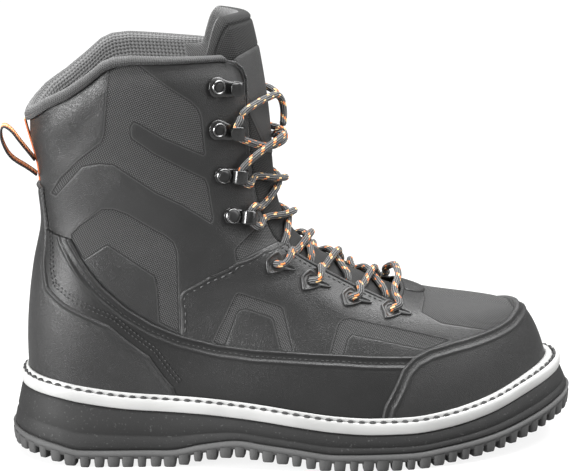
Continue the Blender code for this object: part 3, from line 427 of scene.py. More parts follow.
def slab(name, outer, inner, materials, marks=None):
    # Closed shell between two grids; its inner faces take the second material.
    rows, columns = outer.shape[:2]
    faces = slabQuads(rows, columns)
    uv = np.concatenate([clothMap(outer).reshape(-1, 2)] * 2)
    doubled = {mark: np.concatenate([values.ravel()] * 2) for mark, values in (marks or {}).items()}
    index = np.concatenate([np.zeros(len(faces[0])), np.ones(len(faces[1])), np.zeros(len(faces[2]))])
    if not isinstance(materials, (list, tuple)) or len(materials) < 2:
        index[:] = 0
    points = np.concatenate([outer.reshape(-1, 3), inner.reshape(-1, 3)])
    return makeMesh(name, points, np.concatenate(faces), materials, uv, doubled, index)


def placeFrame(s, v, side, offset):
    # Axes on the upper at a place: x to the throat, z outwards, y along the flap, and the origin.
    point = onLast(s, v, offset)
    normal = normalAt(s, v)
    ahead = onLast(s + side * 2e-3, v) - onLast(s, v)
    ahead -= normal * (ahead @ normal)
    ahead /= np.linalg.norm(ahead)
    return np.column_stack([ahead, np.cross(normal, ahead), normal]), point


def placed(points, axes, origin):
    return np.asarray(points, float) @ axes.T + origin


def bothSides(places):
    # Ring places and the sign of their side, for the outer and then the inner side.
    found = fromSide(places)
    return [(s, v, 1) for s, v in found] + [(1 - s, v, -1) for s, v in found]


def sideLabels(count):
    # Endings of the nodes' names in the order of bothSides: outer_1, outer_2 and on to the inner ones.
    return [f"{side}_{number + 1}" for side in ("outer", "inner") for number in range(count)]


def pieceLabel(label):
    return label.title().replace("_", "")


def frames(path):
    # Direction, and two cross axes carried along a path with no twist.
    path = np.asarray(path, float)
    ahead = np.gradient(path, axis=0)
    ahead /= np.linalg.norm(ahead, axis=1)[:, None]
    side = np.cross(ahead[0], (0.0, 0.3, 1.0))
    sides = []
    for direction in ahead:
        side = side - direction * (side @ direction)
        side /= np.linalg.norm(side)
        sides.append(side)
    sides = np.array(sides)
    return ahead, sides, np.cross(ahead, sides)


def capQuads(start, count):
    # Faces across a closed ring of points, between its two halves.
    k = np.arange(count // 2 - 1)
    return np.column_stack([start + k, start + k + 1, start + count - 2 - k, start + count - 1 - k])


def loftParts(sections):
    # Faces and their map over closed sections one after another, with both ends closed.
    count, width = sections.shape[:2]
    walked = walkedAlong(sections.mean(axis=1))
    sides = gridQuads(count, width, True)
    row, column = sides[:, 0] // width, sides[:, 0] % width
    turn = np.stack([column, column + 1, column + 1, column], axis=1) / width
    along = np.stack([walked[row], walked[row], walked[row + 1], walked[row + 1]], axis=1)
    ends = np.concatenate([capQuads(0, width)[:, ::-1], capQuads((count - 1) * width, width)])
    quads = np.concatenate([sides, ends])
    uv = np.concatenate([np.stack([turn, along], axis=-1), np.zeros((len(ends), 4, 2))])
    return quads, uv


def loftMesh(name, sections, material, marks=None, materialIndex=None):
    quads, uv = loftParts(sections)
    index = None
    if materialIndex is not None:
        index = np.concatenate([materialIndex, np.zeros(len(quads) - len(materialIndex))])
    return makeMesh(name, sections, quads, material, uv, marks, index)


def tubeSections(path, radius, sides):
    # Circles carried along a path, drawn in at its round ends.
    path = np.asarray(path, float)
    _, first, second = frames(path)
    walked = walkedAlong(path)
    fromEnd = np.minimum(walked, walked[-1] - walked)
    swell = np.sqrt(np.clip(1 - np.clip(1 - fromEnd / radius, 0, 1) ** 2, 0.01, 1))
    turn = np.arange(sides) / sides * 2 * np.pi
    circle = first[:, None] * np.cos(turn)[None, :, None] + second[:, None] * np.sin(turn)[None, :, None]
    return path[:, None] + circle * (radius * swell)[:, None, None]


def tubeMesh(name, path, radius, sides, material):
    return loftMesh(name, tubeSections(path, radius, sides), material)


def joinedLofts(name, lofts, material, indices=None):
    # Several lofts in one mesh, each with its own material where a list of them is given.
    points, quads, maps, index, count = [], [], [], [], 0
    for number, sections in enumerate(lofts):
        faces, uv = loftParts(sections)
        index.append(np.full(len(faces), indices[number] if indices else 0))
        points.append(sections.reshape(-1, 3))
        quads.append(faces + count)
        maps.append(uv)
        count += len(points[-1])
    return makeMesh(name, np.concatenate(points), np.concatenate(quads), material, np.concatenate(maps),
                    None, np.concatenate(index))


def cordPath(points, step=0.0012):
    # Even steps along a spline through chosen points.
    fine = smoothPath(points, 400)
    length = np.sum(np.linalg.norm(np.diff(fine, axis=0), axis=1))
    return smoothPath(points, max(8, round(length / step)))


# One stitch: a short thread that dips at both ends, as a grid of rings along it.
stitchForm = {"rings": 5, "sides": 6}


def stitchTemplate():
    # Half a turn of sine along x lifts the middle, and rings of shrinking radius close the ends.
    along = np.linspace(-0.5, 0.5, stitchForm["rings"])
    radius = np.sqrt(np.clip(1 - (2 * along) ** 2, 0.02, 1))
    turn = np.arange(stitchForm["sides"]) * 2 * np.pi / stitchForm["sides"]
    x = np.broadcast_to(along[:, None], (len(along), len(turn)))
    y = radius[:, None] * np.cos(turn) * 0.5
    z = radius[:, None] * np.sin(turn) * 0.5 + 0.25 * np.cos(np.pi * along)[:, None]
    return np.stack([x, y, z], axis=-1).reshape(-1, 3), gridQuads(len(along), len(turn), True)


def stitchRow(lines, pitch, share, width, offset):
    # Stitches along lines of ring places: points and faces of all of them, from one template.
    template, faces = stitchTemplate()
    allPoints, allFaces, count = [], [], 0
    for line in lines:
        fine = evenOnLast(line, 600)
        places = onLast(fine[:, 0], fine[:, 1])
        length = np.sum(np.linalg.norm(np.diff(places, axis=0), axis=1))
        number = max(2, int(length / pitch))
        at = (np.arange(number) + 0.5) / number * 599
        s, v = np.interp(at, np.arange(600), fine[:, 0]), np.interp(at, np.arange(600), fine[:, 1])
        normal = normalAt(s, v)
        centre = onLast(s, v) + normal * offset
        ahead = np.stack([np.interp(at + 1, np.arange(600), places[:, i])
                          - np.interp(at - 1, np.arange(600), places[:, i]) for i in range(3)], axis=-1)
        ahead -= normal * np.sum(ahead * normal, axis=1)[:, None]
        ahead /= np.linalg.norm(ahead, axis=1)[:, None]
        across = np.cross(normal, ahead)
        points = (centre[:, None] + ahead[:, None] * template[None, :, :1] * pitch * share
                  + across[:, None] * template[None, :, 1:2] * width
                  + normal[:, None] * template[None, :, 2:] * width)
        allPoints.append(points.reshape(-1, 3))
        shifts = np.arange(number) * len(template) + count
        allFaces.append((faces[None] + shifts[:, None, None]).reshape(-1, 4))
        count += number * len(template)
    return np.concatenate(allPoints), np.concatenate(allFaces)


# Materials

def newMaterial(name):
    material = bpy.data.materials.new(name)
    material.use_nodes = True
    tree = material.node_tree
    return material, tree, tree.nodes["Principled BSDF"]


def addNode(tree, kind, inputs=None, **settings):
    # Node of a kind with its settings; an input that is a socket is linked, any other is set.
    node = tree.nodes.new(kind)
    for key, value in settings.items():
        setattr(node, key, value)
    for key, value in (inputs or {}).items():
        if isinstance(value, bpy.types.NodeSocket):
            tree.links.new(value, node.inputs[key])
        else:
            node.inputs[key].default_value = value
    return node


def arithmetic(tree, operation, *values):
    node = addNode(tree, "ShaderNodeMath", dict(enumerate(values)), operation=operation)
    return node.outputs[0]


def remap(tree, value, low, high, toLow=0.0, toHigh=1.0):
    # Smooth step of a value between two limits.
    node = addNode(tree, "ShaderNodeMapRange", {"Value": value, "From Min": low, "From Max": high,
                                                "To Min": toLow, "To Max": toHigh},
                   interpolation_type="SMOOTHSTEP")
    return node.outputs["Result"]


def blendColors(tree, share, first, second):
    node = addNode(tree, "ShaderNodeMix", data_type="RGBA")
    for socket, value in zip((node.inputs[0], node.inputs[6], node.inputs[7]), (share, first, second)):
        if isinstance(value, bpy.types.NodeSocket):
            tree.links.new(value, socket)
        else:
            socket.default_value = value
    return node.outputs[2]


def gray(value, warm=0.0):
    return (value * (1 + warm), value, value * (1 - warm), 1.0)


def objectPlace(tree):
    return addNode(tree, "ShaderNodeTexCoord").outputs["Object"]


def noise(tree, place, scale, detail=3.0, rough=0.5):
    node = addNode(tree, "ShaderNodeTexNoise",
                   {"Vector": place, "Scale": scale, "Detail": detail, "Roughness": rough})
    return node.outputs["Fac"]


def bump(tree, height, strength, distance, normal=None):
    inputs = {"Height": height, "Strength": strength, "Distance": distance}
    if normal is not None:
        inputs["Normal"] = normal
    return addNode(tree, "ShaderNodeBump", inputs).outputs["Normal"]


def markValue(tree, name):
    return addNode(tree, "ShaderNodeAttribute", attribute_name=name).outputs["Fac"]


def sideMap(tree):
    # Map of the boot's walls: x along, and height less the distance from the middle plane up.
    parts = addNode(tree, "ShaderNodeSeparateXYZ", {"Vector": objectPlace(tree)})
    up = arithmetic(tree, "SUBTRACT", parts.outputs["Z"], arithmetic(tree, "ABSOLUTE", parts.outputs["Y"]))
    return addNode(tree, "ShaderNodeCombineXYZ", {"X": parts.outputs["X"], "Y": up}).outputs["Vector"]


def weaveHeight(tree, pitch, turn, onWall=False):
    # Knitted openings: the product of two sine waves over the turned map, each a pitch long.
    uv = sideMap(tree) if onWall else addNode(tree, "ShaderNodeUVMap", uv_map="fabric").outputs["UV"]
    turned = addNode(tree, "ShaderNodeMapping", {"Vector": uv, "Rotation": (0.0, 0.0, turn),
                                                 "Scale": (1 / pitch, 1 / pitch, 1.0)})
    parts = addNode(tree, "ShaderNodeSeparateXYZ", {"Vector": turned.outputs["Vector"]})
    waves = [arithmetic(tree, "SINE", arithmetic(tree, "MULTIPLY", parts.outputs[axis], 2 * math.pi))
             for axis in ("X", "Y")]
    return arithmetic(tree, "MULTIPLY_ADD", arithmetic(tree, "MULTIPLY", *waves), 0.5, 0.5)


leatherLook = {
    "color": 0.018, "light": 0.024, "roughness": 0.38, "grainSize": 0.0009, "grainDepth": 0.00009,
    "meshThread": 0.066, "meshHole": 0.006, "meshPitch": 0.0015, "meshDepth": 0.0003,
}


# Round each window, a painted highlight as a thin light edge on the leather and painted shade as a dark
# one in the mesh: where each rises and falls off by the weave mark, its share, and its gray.
paintedWindowEdges = {"light": ((-0.0008, -0.0005, -0.0004, -0.0001), 0.35, 0.10),
              "dark": ((-0.0002, 0.0002, 0.0004, 0.0009), 0.8, 0.004)}


def bandShare(tree, value, start, full, fullEnd, end):
    # One inside a band of the value, falling off smoothly at both of its ends.
    return arithmetic(tree, "MULTIPLY", remap(tree, value, start, full), remap(tree, value, end, fullEnd))


def leatherMaterial(name, look, weave=False, warm=0.0):
    # Grained coated leather; where the weave mark is over zero, knitted mesh takes its place.
    material, tree, shader = newMaterial(name)
    place = objectPlace(tree)
    cells = addNode(tree, "ShaderNodeTexVoronoi", {"Vector": place, "Scale": 1 / look["grainSize"]},
                    feature="DISTANCE_TO_EDGE").outputs["Distance"]
    grain = arithmetic(tree, "ADD", remap(tree, cells, 0.0, 0.35),
                       arithmetic(tree, "MULTIPLY", noise(tree, place, 2600.0), 0.35))
    cloud = remap(tree, noise(tree, place, 22.0, 2.0), 0.3, 0.7)
    color = blendColors(tree, cloud, gray(look["color"], warm), gray(look["light"], warm))
    rough = addNode(tree, "ShaderNodeMapRange", {"Value": noise(tree, place, 140.0), "To Min":
                    look["roughness"] - 0.05, "To Max": look["roughness"] + 0.07}).outputs["Result"]
    height = arithmetic(tree, "MULTIPLY", grain, look["grainDepth"])
    if weave:
        inWindow = remap(tree, markValue(tree, "weave"), -0.0001, 0.0002)
        knit = weaveHeight(tree, look["meshPitch"], 0.42, True)
        knitColor = blendColors(tree, remap(tree, knit, 0.25, 0.75), gray(look["meshHole"]),
                                gray(look["meshThread"]))
        color = blendColors(tree, inWindow, color, knitColor)
        mark = markValue(tree, "weave")
        # Painted highlight on the leather and painted shade in the mesh along each window's edge.
        for band, share, tone in (paintedWindowEdges["light"], paintedWindowEdges["dark"]):
            onBand = bandShare(tree, mark, *band)
            color = blendColors(tree, arithmetic(tree, "MULTIPLY", onBand, share), color, gray(tone))
        rough = arithmetic(tree, "MULTIPLY_ADD", inWindow, 0.4, rough)
        knitHeight = arithmetic(tree, "MULTIPLY", knit, look["meshDepth"])
        leatherShare = arithmetic(tree, "SUBTRACT", 1.0, inWindow)
        height = arithmetic(tree, "ADD", arithmetic(tree, "MULTIPLY", height, leatherShare),
                            arithmetic(tree, "MULTIPLY", knitHeight, inWindow))
    tree.links.new(color, shader.inputs["Base Color"])
    tree.links.new(rough, shader.inputs["Roughness"])
    tree.links.new(bump(tree, height, 1.0, 1.0), shader.inputs["Normal"])
    shader.inputs["Specular IOR Level"].default_value = 0.45
    return material


def fabricMaterial(name, thread, hole, pitch, depth, turn=0.785, edge=(0.25, 0.75)):
    # Knitted fabric over the piece's map: pale threads round dark openings.
    material, tree, shader = newMaterial(name)
    knit = weaveHeight(tree, pitch, turn)
    fuzz = noise(tree, objectPlace(tree), 900.0)
    color = blendColors(tree, remap(tree, knit, *edge), hole, thread)
    shade = blendColors(tree, arithmetic(tree, "MULTIPLY", fuzz, 0.4), color, gray(0.01))
    tree.links.new(shade, shader.inputs["Base Color"])
    height = arithmetic(tree, "MULTIPLY_ADD", fuzz, depth * 0.4, arithmetic(tree, "MULTIPLY", knit, depth))
    tree.links.new(bump(tree, height, 1.0, 1.0), shader.inputs["Normal"])
    shader.inputs["Roughness"].default_value = 0.85
    shader.inputs["Sheen Weight"].default_value = 0.25
    shader.inputs["Sheen Roughness"].default_value = 0.5
    return material


def plainMaterial(name, color, roughness, grainScale, grainDepth, speck=None, metallic=0.0, coat=0.0):
    # Moulded surface: fine noise in height and roughness, and small specks of another colour.
    material, tree, shader = newMaterial(name)
    place = objectPlace(tree)
    grain = noise(tree, place, grainScale)
    base = blendColors(tree, remap(tree, noise(tree, place, 30.0, 2.0), 0.3, 0.7), color,
                       tuple(channel * 1.2 for channel in color[:3]) + (1.0,))
    if speck is not None:
        spots = remap(tree, noise(tree, place, 700.0, 1.0), 0.66, 0.74)
        base = blendColors(tree, spots, base, speck)
    tree.links.new(base, shader.inputs["Base Color"])
    rough = addNode(tree, "ShaderNodeMapRange", {"Value": noise(tree, place, 90.0),
                    "To Min": roughness - 0.06, "To Max": roughness + 0.08}).outputs["Result"]
    tree.links.new(rough, shader.inputs["Roughness"])
    height = arithmetic(tree, "MULTIPLY", grain, grainDepth)
    tree.links.new(bump(tree, height, 1.0, 1.0), shader.inputs["Normal"])
    shader.inputs["Metallic"].default_value = metallic
    shader.inputs["Coat Weight"].default_value = coat
    shader.inputs["Coat Roughness"].default_value = 0.2
    return material


# The rib gray is a painted sheen on the crests of the cord's ribs.
laceLook = {"ribs": 10, "pitch": 0.0092, "fleckLong": 0.0021, "braid": 0.0016,
            "braidHeight": 0.00006, "ribHeight": 0.00025, "orange": (0.78, 0.21, 0.045, 1.0),
            "pale": (0.88, 0.58, 0.26, 1.0), "dark": gray(0.012), "rib": gray(0.15)}


def laceMaterial():
    # Braided cord: ribs along it with a painted sheen on their crests, and bands every pitch where single
    # ribs turn orange or pale.
    material, tree, shader = newMaterial("laceBraid")
    uv = addNode(tree, "ShaderNodeUVMap", uv_map="fabric").outputs["UV"]
    parts = addNode(tree, "ShaderNodeSeparateXYZ", {"Vector": uv})
    turn, along = parts.outputs["X"], parts.outputs["Y"]
    ribAngle = arithmetic(tree, "MULTIPLY", turn, laceLook["ribs"])
    ribSine = arithmetic(tree, "SINE", arithmetic(tree, "MULTIPLY", ribAngle, math.pi))
    ribWave = arithmetic(tree, "ABSOLUTE", ribSine)
    ribNumber = arithmetic(tree, "FLOOR", ribAngle)
    ribTurn = arithmetic(tree, "MULTIPLY", ribNumber, math.pi)
    wave = 2 * math.pi / laceLook["braid"]
    chevron = arithmetic(tree, "SINE", arithmetic(tree, "MULTIPLY_ADD", along, wave, ribTurn))
    # Four of every five ribs carry flecks, each a little further along the cord than the last.
    group = arithmetic(tree, "MODULO", ribNumber, 5.0)
    shift = arithmetic(tree, "MULTIPLY", group, 0.13)
    wrapped = arithmetic(tree, "FRACT", arithmetic(tree, "MULTIPLY_ADD", along, 1 / laceLook["pitch"], shift))
    onBand = arithmetic(tree, "LESS_THAN", wrapped, laceLook["fleckLong"] / laceLook["pitch"])
    chosen = arithmetic(tree, "LESS_THAN", group, 3.5)
    fleck = arithmetic(tree, "MULTIPLY", onBand, chosen)
    paleRib = arithmetic(tree, "LESS_THAN", arithmetic(tree, "MODULO", ribNumber, 2.0), 0.5)
    # Painted sheen: each rib's crest turns from the dark cord to the rib gray.
    dark = blendColors(tree, remap(tree, ribWave, 0.75, 0.98), laceLook["dark"], laceLook["rib"])
    bright = blendColors(tree, paleRib, laceLook["orange"], laceLook["pale"])
    fleckShare = arithmetic(tree, "MULTIPLY", fleck, remap(tree, ribWave, 0.25, 0.55))
    color = blendColors(tree, fleckShare, dark, bright)
    tree.links.new(color, shader.inputs["Base Color"])
    ribHeight = arithmetic(tree, "MULTIPLY", ribWave, laceLook["ribHeight"])
    height = arithmetic(tree, "MULTIPLY_ADD", chevron, laceLook["braidHeight"], ribHeight)
    tree.links.new(bump(tree, height, 1.0, 1.0), shader.inputs["Normal"])
    shader.inputs["Roughness"].default_value = 0.7
    shader.inputs["Sheen Weight"].default_value = 0.15
    return material


upperLeather = leatherMaterial("quarterLeather", leatherLook, weave=True)
capLeather = leatherMaterial("capLeather", {**leatherLook, "color": 0.017, "light": 0.023, "roughness": 0.42,
                                            "grainSize": 0.0008, "grainDepth": 0.00010})
randRubber = leatherMaterial("randLeather", {**leatherLook, "color": 0.011, "light": 0.015, "roughness": 0.40,
                                             "grainDepth": 0.00006})
liningFabric = fabricMaterial("innerLining", gray(0.030), gray(0.012), 0.0012, 0.0002)
collarMesh = fabricMaterial("collarMesh", gray(0.115), gray(0.010), 0.0030, 0.0006, edge=(0.10, 0.34))
tongueMesh = fabricMaterial("tongueMesh", gray(0.105), gray(0.018), 0.0022, 0.0004)
threadDark = plainMaterial("darkThread", gray(0.034), 0.55, 2500.0, 0.00008)
threadGray = plainMaterial("grayThread", gray(0.075), 0.55, 2500.0, 0.00008)
weltThread = plainMaterial("weltThread", gray(0.018), 0.6, 2500.0, 0.00008)
weltRubber = plainMaterial("whiteRubber", (0.36, 0.36, 0.355, 1.0), 0.45, 600.0, 0.00003)
foamDark = plainMaterial("speckledFoam", gray(0.008), 0.70, 1500.0, 0.00014, speck=gray(0.040))
treadRubber = plainMaterial("treadRubber", gray(0.060), 0.75, 900.0, 0.0001)
hookMetal = plainMaterial("blackHook", gray(0.065), 0.25, 300.0, 0.00002, metallic=0.9, coat=0.4)
rivetMetal = plainMaterial("rivetRing", gray(0.14), 0.24, 300.0, 0.00002, metallic=1.0, coat=0.4)
hookDark = plainMaterial("rivetCentre", gray(0.014), 0.36, 300.0, 0.00002, metallic=0.2, coat=0.1)
moldedTab = plainMaterial("moldedTab", gray(0.026), 0.34, 1200.0, 0.00004)
boardFabric = fabricMaterial("insoleCloth", gray(0.035), gray(0.014), 0.0013, 0.0002)
laceBraid = laceMaterial()
print("materials made")


# Camera, light and floor

studio = {"floor": 0.16, "floorSeen": 0.86, "floorGlow": 0.10, "worldSeen": 0.9, "world": 0.07,
          "leftPower": 50.0, "rightPower": 14.0, "topPower": 54.0, "frontPower": 3.0, "backPower": 12.0}


def makeLight(name, place, target, size, power):
    light = bpy.data.lights.new(name, "AREA")
    light.shape = "RECTANGLE"
    light.size, light.size_y = size
    light.energy = power
    lamp = bpy.data.objects.new(name, light)
    lamp.location = place
    lamp.rotation_euler = (Vector(target) - Vector(place)).to_track_quat("-Z", "Y").to_euler()
    bpy.context.scene.collection.objects.link(lamp)


def glow(tree, seen, cast):
    # Strength for what the camera sees, and another for what lights the boot.
    ray = addNode(tree, "ShaderNodeLightPath").outputs["Is Camera Ray"]
    return arithmetic(tree, "MULTIPLY_ADD", ray, seen - cast, cast)


def makeStudio():
    world = bpy.data.worlds.new("studio")
    world.use_nodes = True
    world.node_tree.nodes["Background"].inputs["Color"].default_value = (1.0, 1.0, 1.0, 1.0)
    world.node_tree.links.new(glow(world.node_tree, studio["worldSeen"], studio["world"]),
                              world.node_tree.nodes["Background"].inputs["Strength"])
    bpy.context.scene.world = world
    bpy.context.scene.view_settings.view_transform = "Standard"
    middle = cameraPlan["target"]
    makeLight("leftSoftbox", (-1.20, -0.75, 0.42), (0.0, 0, 0.16), (0.5, 0.9), studio["leftPower"])
    makeLight("rightSoftbox", (1.45, -0.55, 0.75), middle, (0.7, 1.0), studio["rightPower"])
    makeLight("topSoftbox", (0.38, 0.0, 1.30), middle, (1.0, 1.5), studio["topPower"])
    makeLight("frontFill", (0.30, -1.90, 0.95), middle, (1.6, 0.9), studio["frontPower"])
    makeLight("backSoftbox", (-0.20, 1.60, 0.90), middle, (1.6, 0.9), studio["backPower"])
    bpy.ops.mesh.primitive_plane_add(size=40.0, location=(0, 0, 0))
    floor = bpy.context.active_object
    floor.name = "studioFloor"
    material, tree, shader = newMaterial("paleFloor")
    shader.inputs["Base Color"].default_value = (studio["floor"],) * 3 + (1.0,)
    shader.inputs["Roughness"].default_value = 0.9
    shader.inputs["Specular IOR Level"].default_value = 0.1
    shader.inputs["Emission Color"].default_value = (1.0, 1.0, 1.0, 1.0)
    tree.links.new(glow(tree, studio["floorSeen"], studio["floorGlow"]), shader.inputs["Emission Strength"])
    floor.data.materials.append(material)
    camera = bpy.data.cameras.new("photoCamera")
    camera.lens = cameraPlan["lens"]
    camera.sensor_width = cameraPlan["sensor"]
    camera.clip_start, camera.clip_end = 0.05, 30.0
    holder = bpy.data.objects.new("photoCamera", camera)
    back = Vector(cameraAxes()[2])
    holder.location = Vector(middle) + back * cameraPlan["distance"]
    holder.rotation_euler = (-back).to_track_quat("-Z", "Y").to_euler()
    bpy.context.scene.collection.objects.link(holder)
    bpy.context.scene.camera = holder


makeStudio()
print("studio set")


# Panels of the upper, by their borders in the photograph's pixels

pixelSize = 0.000575      # metres on the boot for one pixel
knitPanels = (
    # Shaft: round the strip's end and down the leg to the heel
    ((110, 67), (136, 64), (167, 87), (191, 102), (198, 109), (201, 116), (205, 156), (164, 139),
     (138, 124), (134, 122), (130, 127), (131, 138), (154, 154), (182, 168), (205, 179), (208, 187),
     (213, 219), (211, 223), (182, 205), (156, 193), (127, 174), (113, 165), (98, 164), (82, 167),
     (64, 187), (56, 196), (51, 193), (60, 178), (78, 160), (101, 142), (104, 134), (106, 102), (108, 73)),
    # Between the band and the pentagon over the rand
    ((71, 234), (80, 225), (102, 209), (113, 209), (127, 214), (156, 231), (164, 235), (173, 242),
     (176, 249), (177, 253), (179, 333), (159, 322), (157, 288), (154, 276), (107, 245), (84, 260),
     (71, 240)),
    # Corner under the lower hook
    ((235, 249), (261, 224), (269, 225), (281, 240), (236, 262)),
    # Two bent bands on the vamp
    ((213, 342), (236, 294), (239, 293), (280, 306), (283, 309), (294, 355), (282, 355), (273, 320),
     (270, 317), (246, 309), (240, 310), (237, 313), (225, 346)),
    ((329, 358), (338, 325), (343, 319), (350, 318), (451, 340), (425, 350), (352, 335), (348, 339),
     (343, 358)),
    # Window over the toe cap
    ((421, 289), (424, 299), (421, 313), (441, 324), (490, 331), (510, 321), (514, 308), (505, 296)),
)
panelForm = {"recess": 0.00045, "soft": 0.0009}
# Soft troughs and ridges: a line in pixels, its half width and its height in metres.
creaseLines = (
    (((232, 228), (246, 236), (262, 240), (284, 236)), 0.0055, -0.0008),
    (((226, 252), (246, 262), (268, 262)), 0.0060, 0.0006),
    (((205, 262), (228, 276), (254, 282), (280, 276)), 0.0060, -0.0007),
    (((300, 292), (316, 306), (326, 322)), 0.0060, -0.0005),
    (((346, 296), (360, 308), (372, 314)), 0.0055, -0.0004),
    (((120, 180), (150, 200), (182, 214)), 0.0070, 0.0005),
    (((70, 150), (84, 128), (92, 104)), 0.0080, -0.0006),
    (((215, 96), (222, 120), (224, 150)), 0.0070, -0.0005),
    (((140, 262), (166, 274), (196, 300)), 0.0075, 0.0005),
)


def panelMarks(s, v):
    # How far inside a knitted panel each place lies, in metres, and the height of the creases.
    pixels = inPhoto(onLast(mirrored(s), v))
    weave = np.max([insideBy(pixels, panel) for panel in knitPanels], axis=0) * pixelSize
    crease = np.zeros(weave.shape)
    for line, width, height in creaseLines:
        distance = lineDistance(pixels, line) * pixelSize
        crease += height * np.exp(-((distance / width) ** 2))
    return weave, crease


throatPlaces = fromSide(throatEdge)
throatOrder = np.argsort(throatPlaces[:, 1])
seamPixels = ((285, 239), (262, 250), (235, 263), (208, 277), (184, 290), (180, 294), (179, 300), (180, 333),
              (181, 400))
seamPlaces = fromPhoto(seamPixels)
seamPlaces[-1, 1] = 0.1


def throatAt(v):
    return np.interp(v, throatPlaces[throatOrder, 1], throatPlaces[throatOrder, 0])


def seamAt(v):
    return np.interp(v, seamPlaces[::-1, 1], seamPlaces[::-1, 0])


quarterForm = {"columns": 261, "rows": 146, "low": 0.12, "under": 0.014, "inner": -0.0022, "lift": 0.0001,
               "fall": 0.0024}


def makeQuarters():
    # Wall of the shaft and the rear: rows run from one front edge round the back to the other.
    form = quarterForm
    top = throatPlaces[0, 1]
    rowLevels = form["low"] + (top - form["low"]) * np.linspace(0, 1, form["rows"])
    ends = np.where(rowLevels > seamPlaces[0, 1], throatAt(rowLevels),
                    np.minimum(seamAt(rowLevels) + form["under"], throatAt(rowLevels)))
    share = np.linspace(-1, 1, form["columns"])
    s = share[None] * ends[:, None]
    rimEdge = collarEdge + ((0.409, 0.890),)
    fine = np.linspace(0, 0.42, 180)
    rim = np.interp(mirrored(s), fine, edgeLevels(fine, rimEdge))
    climb = np.clip((rowLevels - 5) / (top - 5), 0, 1)[:, None] ** 1.5
    v = rowLevels[:, None] + (rim - top) * climb
    weave, crease = panelMarks(s, v)
    height = form["lift"] - panelForm["recess"] * smoothStep(-0.0003, panelForm["soft"], weave) + crease
    fromRim = np.linalg.norm(onLast(s, v) - onLast(s, v[-1:]), axis=2)
    height = height - form["fall"] * (1 - smoothStep(0.0, 0.015, fromRim)) ** 1.5
    outer, inner = onLast(s, v, height), onLast(s, v, form["inner"] - 0.0004)
    piece = slab("quarters", outer, inner, [upperLeather, liningFabric], {"weave": weave})
    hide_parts("upper")


def throatRim():
    # Half the throat's edge: down the flap, then across to the middle line, bowed a little to the toe.
    line = throatPlaces[throatPlaces[:, 1] < seamPlaces[0, 1] - 0.02]
    across = np.linspace(line[-1, 0] + 0.012, 0.5, 24)
    bottomX = onLast(*line[-1])[0] + 0.0028 * smoothStep(line[-1, 0], 0.46, across)
    return np.vstack([seamPlaces[:1], line, np.column_stack([across, levelAtX(across, bottomX)])])


vampForm = {"columns": 115, "rows": 84, "low": 0.12, "lift": 0.0008, "inner": -0.0020, "lap": 0.007}


def makeVamp():
    # Forefoot: a patch between rear seam, feather edge, middle line and throat, then mirrored.
    form = vampForm
    low = form["low"]
    seam = seamPlaces[::-1].copy()
    seam[0] = seam[1][0], low
    throatLine = throatRim()
    left = evenOnLast(seam, form["rows"])
    right = evenOnLast([(0.5, low), (0.5, throatLine[-1, 1])], form["rows"])
    bottom = evenOnLast([(seam[0, 0], low), (0.5, low)], form["columns"])
    top = evenOnLast(throatLine, form["columns"])
    u = np.linspace(0, 1, form["columns"])[None, :, None]
    w = np.linspace(0, 1, form["rows"])[:, None, None]
    # A patch between four edges: both pairs of edges blended, less the blend of the corners.
    patch = ((1 - w) * bottom[None] + w * top[None] + (1 - u) * left[:, None] + u * right[:, None]
             - (1 - u) * (1 - w) * left[0] - u * (1 - w) * right[0]
             - (1 - u) * w * left[-1] - u * w * right[-1])
    s = np.concatenate([patch[..., 0], 1 - patch[:, -2::-1, 0]], axis=1)
    v = np.concatenate([patch[..., 1], patch[:, -2::-1, 1]], axis=1)
    weave, crease = panelMarks(s, v)
    fromSeam = lineDistance(onLast(mirrored(s), v), onLast(left[:, 0], left[:, 1]))
    edge = np.sqrt(np.clip(1 - (1 - np.clip(fromSeam / 0.0009, 0, 1)) ** 2, 0, 1))
    ridge = 0.0006 * np.exp(-(((fromSeam - 0.0009) / 0.0006) ** 2))
    height = (form["lift"] * (0.35 + 0.65 * edge) + ridge + crease
              - panelForm["recess"] * smoothStep(-0.0003, panelForm["soft"], weave))
    under = 0.0002 + (form["inner"] - 0.0002) * smoothStep(form["lap"] * 0.7, form["lap"] * 1.3, fromSeam)
    outer, inner = onLast(s, v, height), onLast(s, v, under)
    piece = slab("vamp", outer, inner, [upperLeather, liningFabric], {"weave": weave})
    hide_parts("upper")


makeQuarters()
makeVamp()
print("upper made")

randPixels = ((71, 239), (82, 259), (102, 286), (127, 308), (154, 324), (182, 335), (218, 344), (254, 349),
              (285, 351), (340, 354), (412, 356), (450, 356))
counterEdge = (
    (0.027, 0.580), (0.033, 0.488), (0.033, 0.349), (0.038, 0.302), (0.065, 0.268),
    (0.146, 0.211), (0.220, 0.121), (0.266, 0.030), (0.287, -0.15),
)
capPixels = ((376, 424), (384, 404), (401, 369), (412, 357), (427, 349), (450, 342), (489, 329), (505, 320),
             (511, 313))
overlayForm = {"low": 0.10, "edge": 0.0004, "under": 0.0001}


def edgeOn(places):
    # Points of the boot along an edge on its outer side.
    fine = evenOnLast(places, 90)
    return onLast(fine[:, 0], fine[:, 1])


def bead(distance, middle, width, height):
    # Bell curve of the distance.
    return height * np.exp(-(((distance - middle) / width) ** 2))


def roundedEdge(distance, radius):
    # Quarter of a circle: nothing on the edge, one a radius inside it.
    return np.sqrt(np.clip(1 - (1 - np.clip(distance / radius, 0, 1)) ** 2, 0, 1))


randPlaces = fromPhoto(randPixels)
counterPlaces = fromSide(counterEdge)
capPlaces = fromPhoto(capPixels)
capPlaces[0, 1] = overlayForm["low"]


